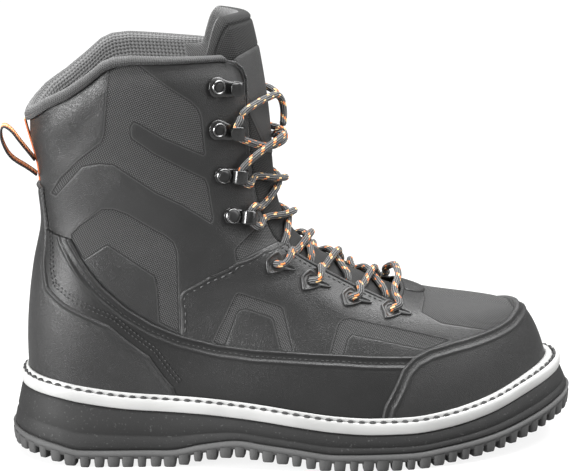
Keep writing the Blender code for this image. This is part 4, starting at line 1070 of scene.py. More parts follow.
# Beads and grooves: distance of their middle from the edge, half width and height.
randForm = {
    "columns": 330, "rows": 64, "span": (0.028, 0.455), "crowd": 0.85, "thickness": 0.0016, "round": 0.0010,
    "rim": (0.0012, 0.0008, 0.0007), "ridge": (0.0068, 0.0007, 0.0009), "channel": 0.0003,
    "channelStart": (0.0020, 0.0028), "channelEnd": (0.0050, 0.0058), "belly": 0.0002,
    "bellyStart": (0.0075, 0.0095),
}
counterForm = {
    "columns": 171, "rows": 150, "thickness": 0.0027, "round": 0.0014, "rim": (0.0014, 0.0009, 0.0006),
    "groove": (0.0036, 0.0012, 0.0003), "stripLevels": (3.6, 5.0), "stripFall": 0.0009,
}
capForm = {
    "columns": 300, "rows": 70, "thickness": 0.0027, "round": 0.0013, "rim": (0.0013, 0.0008, 0.0006),
    "ridge": (0.0058, 0.0007, 0.0009), "groove": (0.0034, 0.0010, 0.0003), "middleRise": 0.06,
    "endGap": 0.001,
}


def overlayHeight(distance, form):
    # Thin at its edge, a quarter circle up to the full thickness, and a bead along the rim.
    edge = overlayForm["edge"]
    full = edge + (form["thickness"] - edge) * roundedEdge(distance, form["round"])
    return full + bead(distance, *form["rim"])


def makeRand(name, node, side):
    # Band over the feather edge: piping, stitch channel and second ridge follow its top edge.
    form, low = randForm, overlayForm["low"]
    s = np.linspace(*form["span"], form["columns"])
    top = np.interp(s, randPlaces[:, 0], randPlaces[:, 1])
    share = np.linspace(0, 1, form["rows"])[:, None] ** form["crowd"]
    v = low + (top[None] - low) * share
    place = s if side > 0 else 1 - s
    s2 = np.broadcast_to(place[None], v.shape)
    distance = lineDistance(onLast(mirrored(s2), v), edgeOn(randPlaces))
    height = (overlayHeight(distance, form) + bead(distance, *form["ridge"])
              - form["channel"] * smoothStep(*form["channelStart"], distance)
              * (1 - smoothStep(*form["channelEnd"], distance))
              + form["belly"] * smoothStep(*form["bellyStart"], distance))
    outer, inner = onLast(s2, v, height), onLast(s2, v, overlayForm["under"])
    if side < 0:
        outer, inner = outer[:, ::-1], inner[:, ::-1]
    piece = slab(name, outer, inner, randRubber)
    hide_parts(node)


def makeCounter():
    # Heel counter and back strip: every row runs from its edge on one side to the other.
    form, low = counterForm, overlayForm["low"]
    order = np.argsort(counterPlaces[:, 1])
    levels = np.linspace(low, counterPlaces[0, 1], form["rows"])
    ends = np.interp(levels, counterPlaces[order, 1], counterPlaces[order, 0])
    share = np.linspace(-1, 1, form["columns"])
    s = share[None] * ends[:, None]
    v = np.broadcast_to(levels[:, None], s.shape)
    distance = lineDistance(onLast(mirrored(s), v), edgeOn(counterPlaces))
    fromTop = np.linalg.norm(onLast(s, v) - onLast(s, levels[-1]), axis=2)
    distance = np.minimum(distance, fromTop)
    height = overlayHeight(distance, form) - bead(distance, *form["groove"])
    # The back strip lies lower than the counter below it.
    onStrip = smoothStep(*form["stripLevels"], v)
    height = height - form["stripFall"] * onStrip * roundedEdge(distance, form["round"])
    outer, inner = onLast(s, v, height), onLast(s, v, overlayForm["under"])
    piece = slab("heelCounter", outer, inner, capLeather)
    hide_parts("heel_counter")


def makeCap():
    # Toe cap up to its edge, with a second ridge inside it.
    form, low = capForm, overlayForm["low"]
    line = np.vstack([capPlaces, [(0.5, capPlaces[-1, 1] + form["middleRise"])]])
    s = np.linspace(line[0, 0] + form["endGap"], 1 - line[0, 0] - form["endGap"], form["columns"])
    top = np.interp(mirrored(s), line[:, 0], line[:, 1])
    share = np.linspace(0, 1, form["rows"])[:, None]
    v = low + (top[None] - low) * share
    s2 = np.broadcast_to(s[None], v.shape)
    distance = lineDistance(onLast(mirrored(s2), v), edgeOn(line))
    height = (overlayHeight(distance, form) + bead(distance, *form["ridge"])
              - bead(distance, *form["groove"]))
    outer, inner = onLast(s2, v, height), onLast(s2, v, overlayForm["under"])
    piece = slab("toeCap", outer, inner, capLeather)
    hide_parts("toe_cap")


makeRand("randOuter", "rand_outer", 1)
makeRand("randInner", "rand_inner", -1)
makeCounter()
makeCap()
print("overlays made")


# Sole

def footOutline(s, reach):
    # Feather edge moved out in the floor's plane, square to the edge.
    s = np.asarray(s, float)
    points = lastPoint(s, np.zeros_like(s))
    step = 1e-3
    around = lastPoint(s + step, np.zeros_like(s)) - lastPoint(s - step, np.zeros_like(s))
    out = np.column_stack([around[:, 1], -around[:, 0], np.zeros(len(s))])
    out /= np.linalg.norm(out, axis=1)[:, None]
    return points + out * np.reshape(reach, (-1, 1))


def weltReach(s):
    return bootForm["weltReach"] + bootForm["toeReach"] * np.clip(-np.cos(2 * np.pi * s), 0, 1) ** 2


def treadReach(s):
    return weltReach(s) + bootForm["sideFlare"] + bootForm["endFlare"] * np.abs(np.cos(2 * np.pi * s)) ** 3


weltForm = {"columns": 640, "innerLevel": 0.52, "overlay": 0.0029, "stitch": 0.0062, "stitchShare": 0.80,
            "thread": 0.0023, "threadPlace": (0.565, 0.72)}
# Section of the welt: share of the way out from the foot, and share of its height.
weltSection = (
    (0.0, 1.0), (0.14, 1.01), (0.27, 0.99), (0.36, 0.93), (0.42, 0.80), (0.46, 0.68), (0.53, 0.63),
    (0.61, 0.64), (0.66, 0.72), (0.72, 0.77), (0.82, 0.74), (0.92, 0.64), (0.985, 0.48), (1.0, 0.28),
    (0.985, 0.08), (0.95, 0.0), (0.5, 0.0), (0.0, 0.0),
)


def weltPlaces(s, out, up):
    # Points between the foot's overlays and the sole's edge, over the top of the foam.
    low = onLast(s, 0.0, weltForm["overlay"])
    high = onLast(s, weltForm["innerLevel"], weltForm["overlay"])
    edge = footOutline(s, weltReach(s))
    inside = low + (high - low) * up
    points = inside + (edge - inside) * out
    points[:, 2] = soleTop(points[:, 0]) + bootForm["gap"] + bootForm["weltHeight"] * up
    return points


def makeWelt():
    s = np.arange(weltForm["columns"]) / weltForm["columns"]
    rows = [weltPlaces(s, out, up) for out, up in weltSection]
    grid = np.stack(rows)
    quads = gridQuads(len(rows), len(s), True, True)[:, ::-1]
    piece = makeMesh("weltStrip", grid, quads, weltRubber)
    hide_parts("welt")
    # Thread in the groove: short stitches along the outline, each a template turned to it.
    fine = np.linspace(0, 1, 4001)
    line = weltPlaces(fine, *weltForm["threadPlace"])
    walked = walkedAlong(line)
    count = round(walked[-1] / weltForm["stitch"])
    at = (np.arange(count) + 0.5) / count * walked[-1]
    centre = np.column_stack([np.interp(at, walked, line[:, i]) for i in range(3)])
    ahead = np.column_stack([np.interp(at + 1e-3, walked, line[:, i]) for i in range(3)]) - centre
    ahead /= np.linalg.norm(ahead, axis=1)[:, None]
    up = np.array((0.0, 0.0, 1.0)) - ahead * ahead[:, 2:]
    up /= np.linalg.norm(up, axis=1)[:, None]
    across = np.cross(up, ahead)
    template, faces = stitchTemplate()
    pitch, share, width = weltForm["stitch"], weltForm["stitchShare"], weltForm["thread"]
    points = (centre[:, None] + ahead[:, None] * template[None, :, :1] * pitch * share
              + across[:, None] * template[None, :, 1:2] * width
              + up[:, None] * template[None, :, 2:] * width)
    allFaces = (faces[None] + (np.arange(count) * len(template))[:, None, None]).reshape(-1, 4)
    makeMesh("weltStitches", points, allFaces, weltThread)


soleForm = {"columns": 480, "plateColumns": 300, "plateRows": 12, "plateInset": 0.0006}
# Section of the foam: share of the way up, and how far inside the sole's side it lies.
foamSection = (
    (0, 0.030), (0, 0.0012), (0.03, 0.0004), (0.10, 0.0), (0.28, 0.0), (0.33, 0.0004), (0.36, 0.0005),
    (0.39, 0.0004), (0.44, 0.0), (0.66, 0.0), (0.9, 0.0), (0.97, 0.0004), (1, 0.0012), (1, 0.030),
)


def makeFoam():
    # Foam wedge: a closed band of rows from its foot up its flared side and back over the top.
    s = np.arange(soleForm["columns"]) / soleForm["columns"]
    gap = bootForm["gap"]
    low = footOutline(s, treadReach(s) - 3 * gap)
    high = footOutline(s, weltReach(s) - 2 * gap)
    floor = soleBase(low[:, 0]) + bootForm["outsoleBase"] + gap
    ceiling = soleTop(high[:, 0]) - gap
    rows = []
    for up, inset in foamSection:
        reach = (treadReach(s) - 3 * gap) * (1 - up) + (weltReach(s) - 2 * gap) * up - inset
        row = footOutline(s, reach)
        row[:, 2] = floor + (ceiling - floor) * up
        rows.append(row)
    quads = gridQuads(len(rows), len(s), True, True)
    piece = makeMesh("foamWedge", np.stack(rows), quads, foamDark)
    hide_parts("midsole")


def makePlate():
    # Outsole plate: rows of points from the outer edge to the inner one, below and above.
    half = np.linspace(0.0005, 0.4995, soleForm["plateColumns"])
    across = np.linspace(0, 1, soleForm["plateRows"])[:, None, None]

    def layer(inset, lift):
        outer = footOutline(half, treadReach(half) - inset)
        inner = footOutline(1 - half, treadReach(1 - half) - inset)
        grid = outer[None] + (inner - outer)[None] * across
        grid[..., 2] = soleBase(grid[..., 0]) + lift
        return grid

    top, bottom = layer(0.0, bootForm["outsoleBase"]), layer(soleForm["plateInset"], 0.0)
    faces = np.concatenate(slabQuads(*top.shape[:2]))
    points = np.concatenate([top.reshape(-1, 3), bottom.reshape(-1, 3)])
    plate = makeMesh("treadPlate", points, faces[:, ::-1], treadRubber)
    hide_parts("outsole")


# Rows of lugs round the sole: distance inside its side, pitch, length, width and turn of a block.
lugRows = ((0.0042, 0.0080, 0.0061, 0.0078, 0.0), (0.0185, 0.0180, 0.0105, 0.0080, 0.5))
# Pairs of blocks along the middle, each at two shares of the way across.
middleLugs = {"pairs": 15, "start": -0.012, "pitch": 0.0185, "leastRoom": 0.034, "shares": (0.32, 0.68),
              "turn": 0.6, "length": 0.0110, "width": 0.0080}
lugCorners = np.array([(-1, -0.72), (-0.72, -1), (0.72, -1), (1, -0.72), (1, 0.72), (0.72, 1), (-0.72, 1),
                       (-1, 0.72)])


def lugBlock(centre, ahead, length, width, height):
    # Block with sloped sides and a broken edge: five rings of eight points, from the plate down.
    base = soleBase(np.array([centre[0]]))[0]
    rings = []
    for drop, shrink in ((-0.0015, 1.06), (0.35 * height, 1.0), (height - 0.0006, 0.90), (height, 0.82),
                         (height, 0.02)):
        a = lugCorners[:, 0] * length / 2 * shrink
        b = lugCorners[:, 1] * width / 2 * shrink
        x = centre[0] + a * ahead[0] - b * ahead[1]
        y = centre[1] + a * ahead[1] + b * ahead[0]
        z = np.maximum(soleBase(x) if drop < 0 else base * np.ones(8), base - 0.004) - drop
        rings.append(np.column_stack([x, y, np.maximum(z, 0.0)]))
    return np.stack(rings)


def turned(way, angle):
    # A flat direction turned by an angle.
    return np.array([way[0] * math.cos(angle) - way[1] * math.sin(angle),
                     way[0] * math.sin(angle) + way[1] * math.cos(angle)])


def makeLugs():
    # Teeth along both edges and rows of blocks between them, each on the plate's curve.
    fine = np.linspace(0, 1, 1441)
    lugHeight = bootForm["lugHeight"]
    blocks = []
    for inset, pitch, length, width, turn in lugRows:
        line = footOutline(fine, treadReach(fine) - inset)[:, :2]
        walked = walkedAlong(line)
        count = round(walked[-1] / pitch)
        for index in range(count):
            at = (index + 0.5) / count * walked[-1]
            place, after = (np.array([np.interp(way, walked, line[:, i]) for i in range(2)])
                            for way in (at, at + 1e-3))
            ahead = turned((after - place) / np.linalg.norm(after - place), turn if index % 2 else -turn)
            # Blocks vary in length, and every third one stands a little short.
            varied = 0.72 + 0.46 * abs(math.sin(index * 2.3))
            height = lugHeight * (1 if index % 3 else 0.97)
            blocks.append(lugBlock(place, ahead, length * varied, width, height))
    for pair in range(middleLugs["pairs"]):
        x = middleLugs["start"] + pair * middleLugs["pitch"]
        outer = np.interp(x, line[:721, 0], line[:721, 1])
        inner = np.interp(x, line[:719:-1, 0], line[:719:-1, 1])
        if inner - outer < middleLugs["leastRoom"]:
            continue
        for share in middleLugs["shares"]:
            angle = middleLugs["turn"] if share < 0.5 else -middleLugs["turn"]
            blocks.append(lugBlock((x, outer + (inner - outer) * share), (math.cos(angle), math.sin(angle)),
                                   middleLugs["length"], middleLugs["width"], lugHeight))
    grid = np.stack(blocks)
    count = grid.shape[1] * 8
    faces = gridQuads(grid.shape[1], 8, True)
    allFaces = (faces[None] + (np.arange(len(blocks)) * count)[:, None, None]).reshape(-1, 4)
    makeMesh("treadLugs", grid, allFaces, treadRubber)


makeWelt()
makeFoam()
makePlate()
makeLugs()
print("sole made")


# Collar, tongue and insole

collarForm = {
    "columns": 241, "end": 0.375, "fullEnd": 0.372, "fade": 0.07, "padding": 0.0062, "least": 0.35,
    "sectionPoints": 57, "low": 0.018, "slack": 0.0006, "endRound": 0.006, "frontFall": 0.45,
    "frontSpan": (0.20, 0.34), "tipSpan": (0.365, 0.375),
}
# Section of the collar: share of the padding inwards, and height over the edge in metres.
collarSection = ((0.0, 0.0004), (0.0, 0.0022), (0.20, 0.0042), (0.55, 0.0048), (0.93, 0.0026), (1.0, -0.005),
                 (1.0, -0.020), (0.85, -0.038), (0.12, -0.046), (0.0, -0.036), (0.0, -0.018), (0.0, -0.001))


def paddingShare(s):
    # One where the collar is fully padded, nothing at its front ends.
    return smoothStep(0.0, 1.0, (collarForm["fullEnd"] - mirrored(s)) / collarForm["fade"])


def paddingDepth(s):
    return collarForm["padding"] * (collarForm["least"] + (1 - collarForm["least"]) * paddingShare(s))


def collarProfile():
    # The section's points as a smooth closed line: share of the padding inwards, and height.
    control = np.array(collarSection + collarSection[:1])
    spread = np.column_stack([control[:, 0] * 0.01, control[:, 1], np.zeros(len(control))])
    section = smoothPath(spread, collarForm["sectionPoints"])[:-1]
    section = np.column_stack([section[:, 0] / 0.01, section[:, 1]])
    section[:, 0] = np.clip(section[:, 0], 0.0, 1.02)
    return section


def makeCollar():
    # Padded lining: a smoothed section swept along the collar's edge, drawn in at both front ends.
    form = collarForm
    bare = bootForm["wall"] + 3 * bootForm["gap"]
    section = collarProfile()
    s = np.linspace(-form["end"], form["end"], form["columns"])
    rim, rimInside = edgeLevels(s, collarEdge), edgeLevels(s, collarEdge, -bare)
    climb = np.linalg.norm(onLast(s, rim) - onLast(s, rim - 1), axis=1)
    full = paddingDepth(s)
    fromEnd = np.clip((form["end"] - np.abs(s)) / form["endRound"], 0, 1)
    drawn = np.sqrt(np.clip(1 - (1 - fromEnd) ** 2, 0.04, 1))
    share, up = section[:, 0][None], section[:, 1][None]
    front = smoothStep(*form["frontSpan"], np.abs(s))[:, None]
    tip = 1 - smoothStep(*form["tipSpan"], np.abs(s))[:, None]
    up = np.where(up > 0, up * (1 - form["frontFall"] * front) * tip, up)
    up = -form["low"] + (up + form["low"]) * drawn[:, None]
    slack = form["slack"] * np.clip(-up / form["low"], 0, 1)
    depth = np.where(up > 0, share * (full + bare)[:, None], bare + slack + share * (full * drawn)[:, None])
    level = (rim[:, None] + (rimInside - rim)[:, None] * np.clip(depth / bare, 0, 1) + up / climb[:, None])
    sections = onLast(np.broadcast_to(s[:, None], level.shape), level, -depth)
    # Its map: distance along the collar and round its section.
    count, width = sections.shape[:2]
    quads = gridQuads(count, width, True)
    ends = np.concatenate([capQuads(0, width)[:, ::-1], capQuads((count - 1) * width, width)])
    along, around = walkedAlong(sections[:, 20]), walkedAlong(sections[100])
    around = np.append(around, around[-1] + 0.001)
    row, column = quads[:, 0] // width, quads[:, 0] % width
    mapX = np.stack([along[row]] * 2 + [along[row + 1]] * 2, axis=1)
    mapY = np.stack([around[column], around[column + 1], around[column + 1], around[column]], axis=1)
    uv = np.concatenate([np.stack([mapX, mapY], axis=-1), np.zeros((len(ends), 4, 2))])
    place = section[column % len(section)]
    roll = (place[:, 0] < 0.62) & (place[:, 1] > -0.0002)
    index = np.concatenate([np.where(roll, 1, 0), np.ones(len(ends))])
    piece = makeMesh("collarPadding", sections, np.concatenate([quads, ends]), [collarMesh, rollFabric],
                     uv, None, index)
    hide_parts("collar")


pipingForm = {"radius": 0.0008, "offset": -0.0008, "lift": 0.004, "ripple": 0.00012, "rippleTurn": 1.9,
              "steps": 420, "sides": 10}


def makePiping():
    # Cord along the collar's edge, round the flap's corner and down its front edge.
    form = pipingForm
    s = np.linspace(0.0, 0.385, 90)
    edge = np.column_stack([s, edgeLevels(s, collarEdge + ((0.409, 0.890),))])
    corner = fromSide(((0.389, 0.937), (0.402, 0.918), (0.409, 0.890)) + throatEdge[1:4])
    fine = evenOnLast(np.vstack([edge[:-3], corner]), form["steps"])
    ripple = form["ripple"] * np.sin(np.arange(len(fine)) * form["rippleTurn"])
    lofts = []
    for place in (fine[:, 0], 1 - fine[:, 0]):
        path = onLast(place, fine[:, 1] + form["lift"], form["offset"] + ripple)
        lofts.append(tubeSections(path, form["radius"], form["sides"]))
    joinedLofts("edgePiping", lofts, pipingFabric)


tongueForm = {
    "columns": 161, "rows": 150, "span": (0.320, 0.680), "halfSpan": 0.182, "top": 9.5, "topRise": 0.95,
    "bottom": 4.35, "bottomRise": 0.35, "thickness": 0.0048, "padding": 0.0065, "round": 0.0055,
    "hem": 0.0062, "sunk": 0.0030,
}
# Smooth face of the tongue, by its border in the photograph's pixels
tonguePanel = ((229, 140), (231, 75), (233, 61), (238, 56), (254, 47), (262, 43), (290, 33), (330, 33),
               (330, 160), (266, 152), (262, 140), (251, 116), (247, 100), (240, 80))


def tongueDepth(s, v):
    # How far the face lies inside the boot: under the flaps, sunk further for the lace, and under
    # the collar's padding.
    distance = mirrored(s)
    bare = bootForm["wall"] + 2 * bootForm["gap"]
    throat = throatAt(v)
    sunk = tongueForm["sunk"] * (1 - smoothStep(throat - 0.004, throat + 0.016, distance))
    sunk = sunk * (1 - smoothStep(8.3, 8.8, v))
    beside = np.clip((0.395 - distance) / 0.03, 0, 1) * np.clip((v - 6.6) / 0.7, 0, 1)
    return bare + np.maximum(sunk, beside * (paddingDepth(s) + 6 * bootForm["gap"]))


def makeTongue():
    # Padded tongue: two faces over the same grid, closed round their edge, fuller at the top.
    form = tongueForm
    s = np.linspace(*form["span"], form["columns"])
    share = np.linspace(0, 1, form["rows"])[:, None]
    centred = 1 - np.abs(s - 0.5) / form["halfSpan"]
    top = form["top"] + form["topRise"] * smoothStep(0.14, 0.44, centred)
    bottom = form["bottom"] + form["bottomRise"] * (1 - centred)
    v = bottom + (top - bottom) * share
    s2 = np.broadcast_to(s[None], v.shape)
    swell = np.clip((v - 8.2) / 1.4, 0, 1) * np.clip(centred * 1.6, 0, 1)
    thick = form["thickness"] * np.clip(0.35 + centred * 1.4, 0, 1) + form["padding"] * swell
    points = onLast(s2, v)
    rimWalk = np.minimum.reduce([np.linalg.norm(points - edge, axis=2)
                                 for edge in (points[-1:], points[:, :1], points[:, -1:])])
    closing = np.sqrt(np.clip(1 - (1 - np.clip(rimWalk / form["round"], 0, 1)) ** 2, 0.003, 1))
    middle = tongueDepth(s2, v) + thick / 2
    # Seams: the border of the smooth panel, and the hem round the padded top.
    panel = insideBy(inPhoto(onLast(mirrored(s2), v, -0.003)), tonguePanel) * pixelSize
    seam = -0.0004 * np.exp(-((panel / 0.0007) ** 2)) + 0.0004 * smoothStep(-0.0002, 0.0004, panel)
    seam = seam - 0.0009 * np.exp(-(((rimWalk - form["hem"]) / 0.0008) ** 2)) * smoothStep(8.0, 8.6, v)
    outer = onLast(s2, v, -middle + thick / 2 * closing + seam * closing)
    inner = onLast(s2, v, -middle - thick / 2 * closing)
    piece = slab("tonguePadding", outer, inner, [tongueLook, tongueMesh], {"weave": -panel})
    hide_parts("tongue")


insoleForm = {"columns": 150, "rows": 30, "level": 0.30, "thickness": 0.0043, "dish": 0.0012}


def makeInsole():
    # Board inside the upper, hollowed by half a sine wave across.
    form, gap = insoleForm, bootForm["gap"]
    s = np.linspace(0.002, 0.498, form["columns"])
    inset = -bootForm["wall"] - 3 * gap
    across = np.linspace(0, 1, form["rows"])[:, None, None]
    outer, inner = onLast(s, form["level"], inset), onLast(1 - s, form["level"], inset)
    top = outer[None] + (inner - outer)[None] * across
    bottom = top.copy()
    floor = soleTop(top[..., 0])
    top[..., 2] = floor + form["thickness"] - form["dish"] * np.sin(np.pi * across[..., 0])
    bottom[..., 2] = floor + gap
    piece = slab("insoleBoard", top, bottom, boardFabric)
    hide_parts("insole")


rollFabric = fabricMaterial("rollFabric", gray(0.062), gray(0.016), 0.0016, 0.0004)
pipingFabric = fabricMaterial("pipingFabric", gray(0.012), gray(0.004), 0.0013, 0.0002)
tongueLook = leatherMaterial("tongueFace", {**leatherLook, "color": 0.036, "light": 0.044, "roughness": 0.50,
                                            "meshThread": 0.034, "meshPitch": 0.0015}, weave=True)
makeCollar()
makePiping()
makeTongue()
makeInsole()
print("collar and tongue made")


# Hooks and eyelet tabs

hookForm = {"plate": 0.0011, "half": 0.0039, "length": 0.0141, "rise": 0.0060, "offset": 0.0006,
            "drop": 0.0020, "laceHeight": 0.0034}
# Turned rings and domes: radius and height.
rivetProfiles = {
    "openRing": ((0.0043, 0.0008), (0.0043, 0.0016), (0.0040, 0.0023), (0.0036, 0.0026), (0.0032, 0.0024),
                 (0.0029, 0.0017)),
    "openDome": ((0.0029, 0.0010), (0.0029, 0.0019), (0.0022, 0.0020), (0.0012, 0.0020), (0.0004, 0.0020)),
    "closedRing": ((0.0046, 0.0006), (0.0047, 0.0014), (0.0045, 0.0022), (0.0041, 0.0028), (0.0037, 0.0029),
                   (0.0034, 0.0025)),
    "closedDome": ((0.0035, 0.0012), (0.0035, 0.0028), (0.0031, 0.0032), (0.0018, 0.0034), (0.0004, 0.0034)),
}


def plateSections(route, thickness, drop=0.0):
    # Rounded bar of a changing width along a side route, its middle line dropping past the rivet.
    route = np.array(route, float)
    fine = smoothPath(route, 64)
    ahead = np.gradient(fine[:, :2], axis=0)
    ahead /= np.linalg.norm(ahead, axis=1)[:, None]
    turn = np.arange(16) / 16 * 2 * np.pi + np.pi / 16
    # Rounded rectangle: signs of cosine and sine, each to a low power.
    across = np.sign(np.cos(turn)) * np.abs(np.cos(turn)) ** 0.28
    lift = np.sign(np.sin(turn)) * np.abs(np.sin(turn)) ** 0.6
    x = fine[:, :1] - ahead[:, 1:] * lift[None] * thickness / 2
    z = fine[:, 1:2] + ahead[:, :1] * lift[None] * thickness / 2
    y = fine[:, 2:] * across[None] - drop * smoothStep(0.0, 0.0085, x)
    return np.stack([x, y, z], axis=-1)


def latheSections(profile, count=24):
    # Circles from a list of radii and heights.
    turn = np.arange(count) / count * 2 * np.pi
    return np.stack([np.column_stack([r * np.cos(turn), r * np.sin(turn), np.full(count, z)])
                     for r, z in profile])


def hookRoutes():
    # Side routes of the open and the closed plate: place ahead, height and half width.
    half, rise, plate, reach = hookForm["half"], hookForm["rise"], hookForm["plate"] / 2, hookForm["length"]
    end = reach - 0.0010
    openPlate = (
        (-0.0058, plate, 0.0007), (-0.0052, plate, 0.0030), (-0.0036, plate, 0.0048),
        (-0.0010, plate, 0.0057), (0.0018, plate, 0.0055), (0.0050, plate, 0.0049),
        (0.0085, plate, half + 0.0004), (reach - 0.0018, plate, half * 0.95),
        (reach - 0.0003, plate + 0.0012, half * 0.92),
        (reach, rise * 0.5, half * 0.90), (reach - 0.0004, rise - 0.0012, half * 0.92),
        (reach - 0.0020, rise, half * 0.98), (reach - 0.0045, rise, half),
        (reach - 0.0068, rise - 0.0001, half * 0.97), (reach - 0.0082, rise - 0.0003, half * 0.72),
        (reach - 0.0087, rise - 0.0004, half * 0.3))
    closedPlate = (
        (-0.0051, plate, 0.0006), (-0.0046, plate, 0.0024), (-0.0032, plate, 0.0039),
        (-0.0010, plate, 0.0044), (0.0020, plate, 0.0042), (0.0050, plate, half), (end - 0.0020, plate, half),
        (end - 0.0003, plate + 0.0014, half), (end, rise * 0.5, half), (end - 0.0004, rise - 0.0012, half),
        (end - 0.0024, rise, half), (0.0084, rise, half), (0.0066, rise - 0.0005, half),
        (0.0056, 0.0036, half), (0.0052, 0.0016, half))
    return openPlate, closedPlate


def makeHooks():
    # Each hook: its plate, a turned ring and a dark dome, in one mesh on the node's place.
    openPlate, closedPlate = hookRoutes()
    for kind, node, route, drop, places, rivet in (
        ("speedHook", "speed_hook", openPlate, hookForm["drop"], speedHookPlaces, "open"),
        ("lockHook", "lock_hook", closedPlate, 0.0, lockHookPlaces, "closed"),
    ):
        ring, dome = (latheSections(rivetProfiles[rivet + part]) for part in ("Ring", "Dome"))
        for label, (s, v, side) in zip(sideLabels(2), bothSides(places)):
            axes, origin = placeFrame(s, v, side, hookForm["offset"])
            shapes = [plateSections(route, hookForm["plate"], drop * side), ring, dome]
            lofts = [placed(shape.reshape(-1, 3), axes, origin).reshape(shape.shape) for shape in shapes]
            piece = joinedLofts(kind + pieceLabel(label), lofts, [hookMetal, rivetMetal, hookDark],
                                [0, 1, 2])
            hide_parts(f"{node}_{label}")


def onSurface(s, v, side, ahead, along, height):
    # Places of the boot a way ahead to the throat and along the flap from a place, by its slopes.
    axes, origin = placeFrame(s, v, side, 0.0)
    byS = (onLast(s + 1e-3, v) - onLast(s, v)) / 1e-3
    byV = (onLast(s, v + 1e-3) - onLast(s, v)) / 1e-3
    slopes = np.array([[byS @ axes[:, 0], byV @ axes[:, 0]], [byS @ axes[:, 1], byV @ axes[:, 1]]])
    moves = np.linalg.solve(slopes, np.vstack([np.ravel(ahead), np.ravel(along)]))
    return onLast(s + moves[0], v + moves[1], np.ravel(height)).reshape(*np.shape(ahead), 3)


tabForm = {"steps": 72, "hole": 0.0029, "radius": 0.0066, "corner": 1.35, "tail": 0.0118, "tailAngle": 0.16,
           "crowd": 0.8, "low": 0.0006, "high": 0.0021}
# Dark disc of painted shade in each eyelet's hole: radius and height of its rings.
holeShadeProfile = ((0.0030, -0.0006), (0.0030, -0.0002), (0.0012, -0.0002), (0.0004, -0.0002))


def makeTabs():
    # Rounded diamond with a tail to the toe: rings from the hole over a raised rim and back.
    form = tabForm
    count, low, high, hole = form["steps"], form["low"], form["high"], form["hole"]
    even = np.arange(count) / count * 2 * np.pi
    turn = even - form["crowd"] * np.sin(even)
    corner = form["corner"]
    reach = np.abs(np.cos(turn)) ** corner + np.abs(np.sin(turn)) ** corner
    diamond = form["radius"] / reach ** (1 / corner)
    away = np.minimum(turn, 2 * np.pi - turn)
    tail = form["tail"] / (1 + (away / form["tailAngle"]) ** 2) ** 0.5
    outline = np.maximum(diamond, tail)
    circle = np.full(count, 1.0)
    # Each ring: its radius all round and its height.
    rings = ((circle * hole, low - 0.0010), (outline, low - 0.0010), (outline, high - 0.0004),
             (outline - 0.0005, high), (outline - 0.0011, high - 0.0002), (outline - 0.0013, high - 0.0005),
             (circle * (hole + 0.0011), 0.0011), (circle * (hole + 0.0005), 0.0012), (circle * hole, 0.0009))
    for label, (s, v, side) in zip(sideLabels(4), bothSides(eyeletPlaces)):
        axes, _ = placeFrame(s, v, side, 0.0)
        toToe = axes.T @ np.array((1.0, 0.0, -0.35))
        angles = turn + math.atan2(toToe[1], toToe[0])
        grid = np.stack([onSurface(s, v, side, radius * np.cos(angles), radius * np.sin(angles),
                                   np.full(count, height)) for radius, height in rings])
        quads = gridQuads(len(grid), count, True, True)
        piece = makeMesh("eyeletTab" + pieceLabel(label), grid, quads, moldedTab)
        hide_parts(f"eyelet_tab_{label}")
    # Dark discs of painted shade close the view through the holes.
    lofts = []
    for s, v, side in bothSides(eyeletPlaces):
        axes, origin = placeFrame(s, v, side, 0.0)
        disc = latheSections(holeShadeProfile, 20)
        lofts.append(placed(disc.reshape(-1, 3), axes, origin).reshape(disc.shape))
    joinedLofts("eyeletShade", lofts, threadDark)


makeHooks()
makeTabs()
print("hooks and tabs made")


# Lace

laceForm = {"radius": 0.0020, "sides": 20, "arch": 0.0050}
loopOuter = (
    (0.0855, -0.0320, 0.1985), (0.0885, -0.0294, 0.2010), (0.0930, -0.0250, 0.2030),
    (0.0980, -0.0185, 0.2045), (0.1030, -0.0110, 0.2050), (0.1070, -0.0035, 0.2045), (0.1100, 0.0010, 0.2010),
    (0.1112, 0.0010, 0.1960), (0.1112, 0.0000, 0.1905), (0.1105, -0.0030, 0.1865))
loopInner = (
    (0.0855, 0.0320, 0.1985), (0.0885, 0.0294, 0.2010), (0.0930, 0.0250, 0.2035), (0.0980, 0.0185, 0.2055),
    (0.1040, 0.0110, 0.2058), (0.1085, 0.0062, 0.2030))


def pathLength(path):
    return float(np.sum(np.linalg.norm(np.diff(path, axis=0), axis=1)))


def makeLoops():
    for name, route, node in (("laceLoopOuter", loopOuter, "lace_loop_outer"),
                              ("laceLoopInner", loopInner, "lace_loop_inner")):
        path = cordPath(route, 0.0009)
        piece = tubeMesh(name, path, laceForm["radius"], laceForm["sides"], laceBraid)
        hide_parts(node)


def laceRows():
    # Side view of each lace row from the toe up: its place, its way on to the next row, and its kind.
    rows = [(s, v, "hole") for s, v in fromSide(eyeletPlaces)]
    rows += [(s, v, "lock") for s, v in fromSide(lockHookPlaces)]
    rows += [(s, v, "open") for s, v in fromSide(speedHookPlaces[:1])]
    places = []
    for s, v, kind in rows:
        axes, origin = placeFrame(s, v, 1, 0.0)
        end = origin if kind == "hole" else origin + axes[:, 0] * hookForm["length"]
        places.append(end[[0, 2]])
    ways = np.gradient(np.array(places), axis=0)
    return [(place, way / np.linalg.norm(way), *row) for place, way, row in zip(places, ways, rows)]


def rowLevel(row, s, shift):
    # Level of the boot on the line across it at a lace row moved up by a distance.
    place, way = row[0] + row[1] * shift, row[1]
    levels = np.linspace(3.5, 11, 161)
    points = onLast(np.full_like(levels, s), levels)[:, [0, 2]]
    return float(np.interp(0, (points - place) @ way, levels))


def rowEdge(row, shift):
    # Place s of the flap's edge on a row's line.
    place, way = row[0] + row[1] * shift, row[1]
    points = onLast(throatPlaces[1:-1, 0], throatPlaces[1:-1, 1])[:, [0, 2]]
    return float(np.interp(0, (points - place) @ way, throatPlaces[1:-1, 0]))


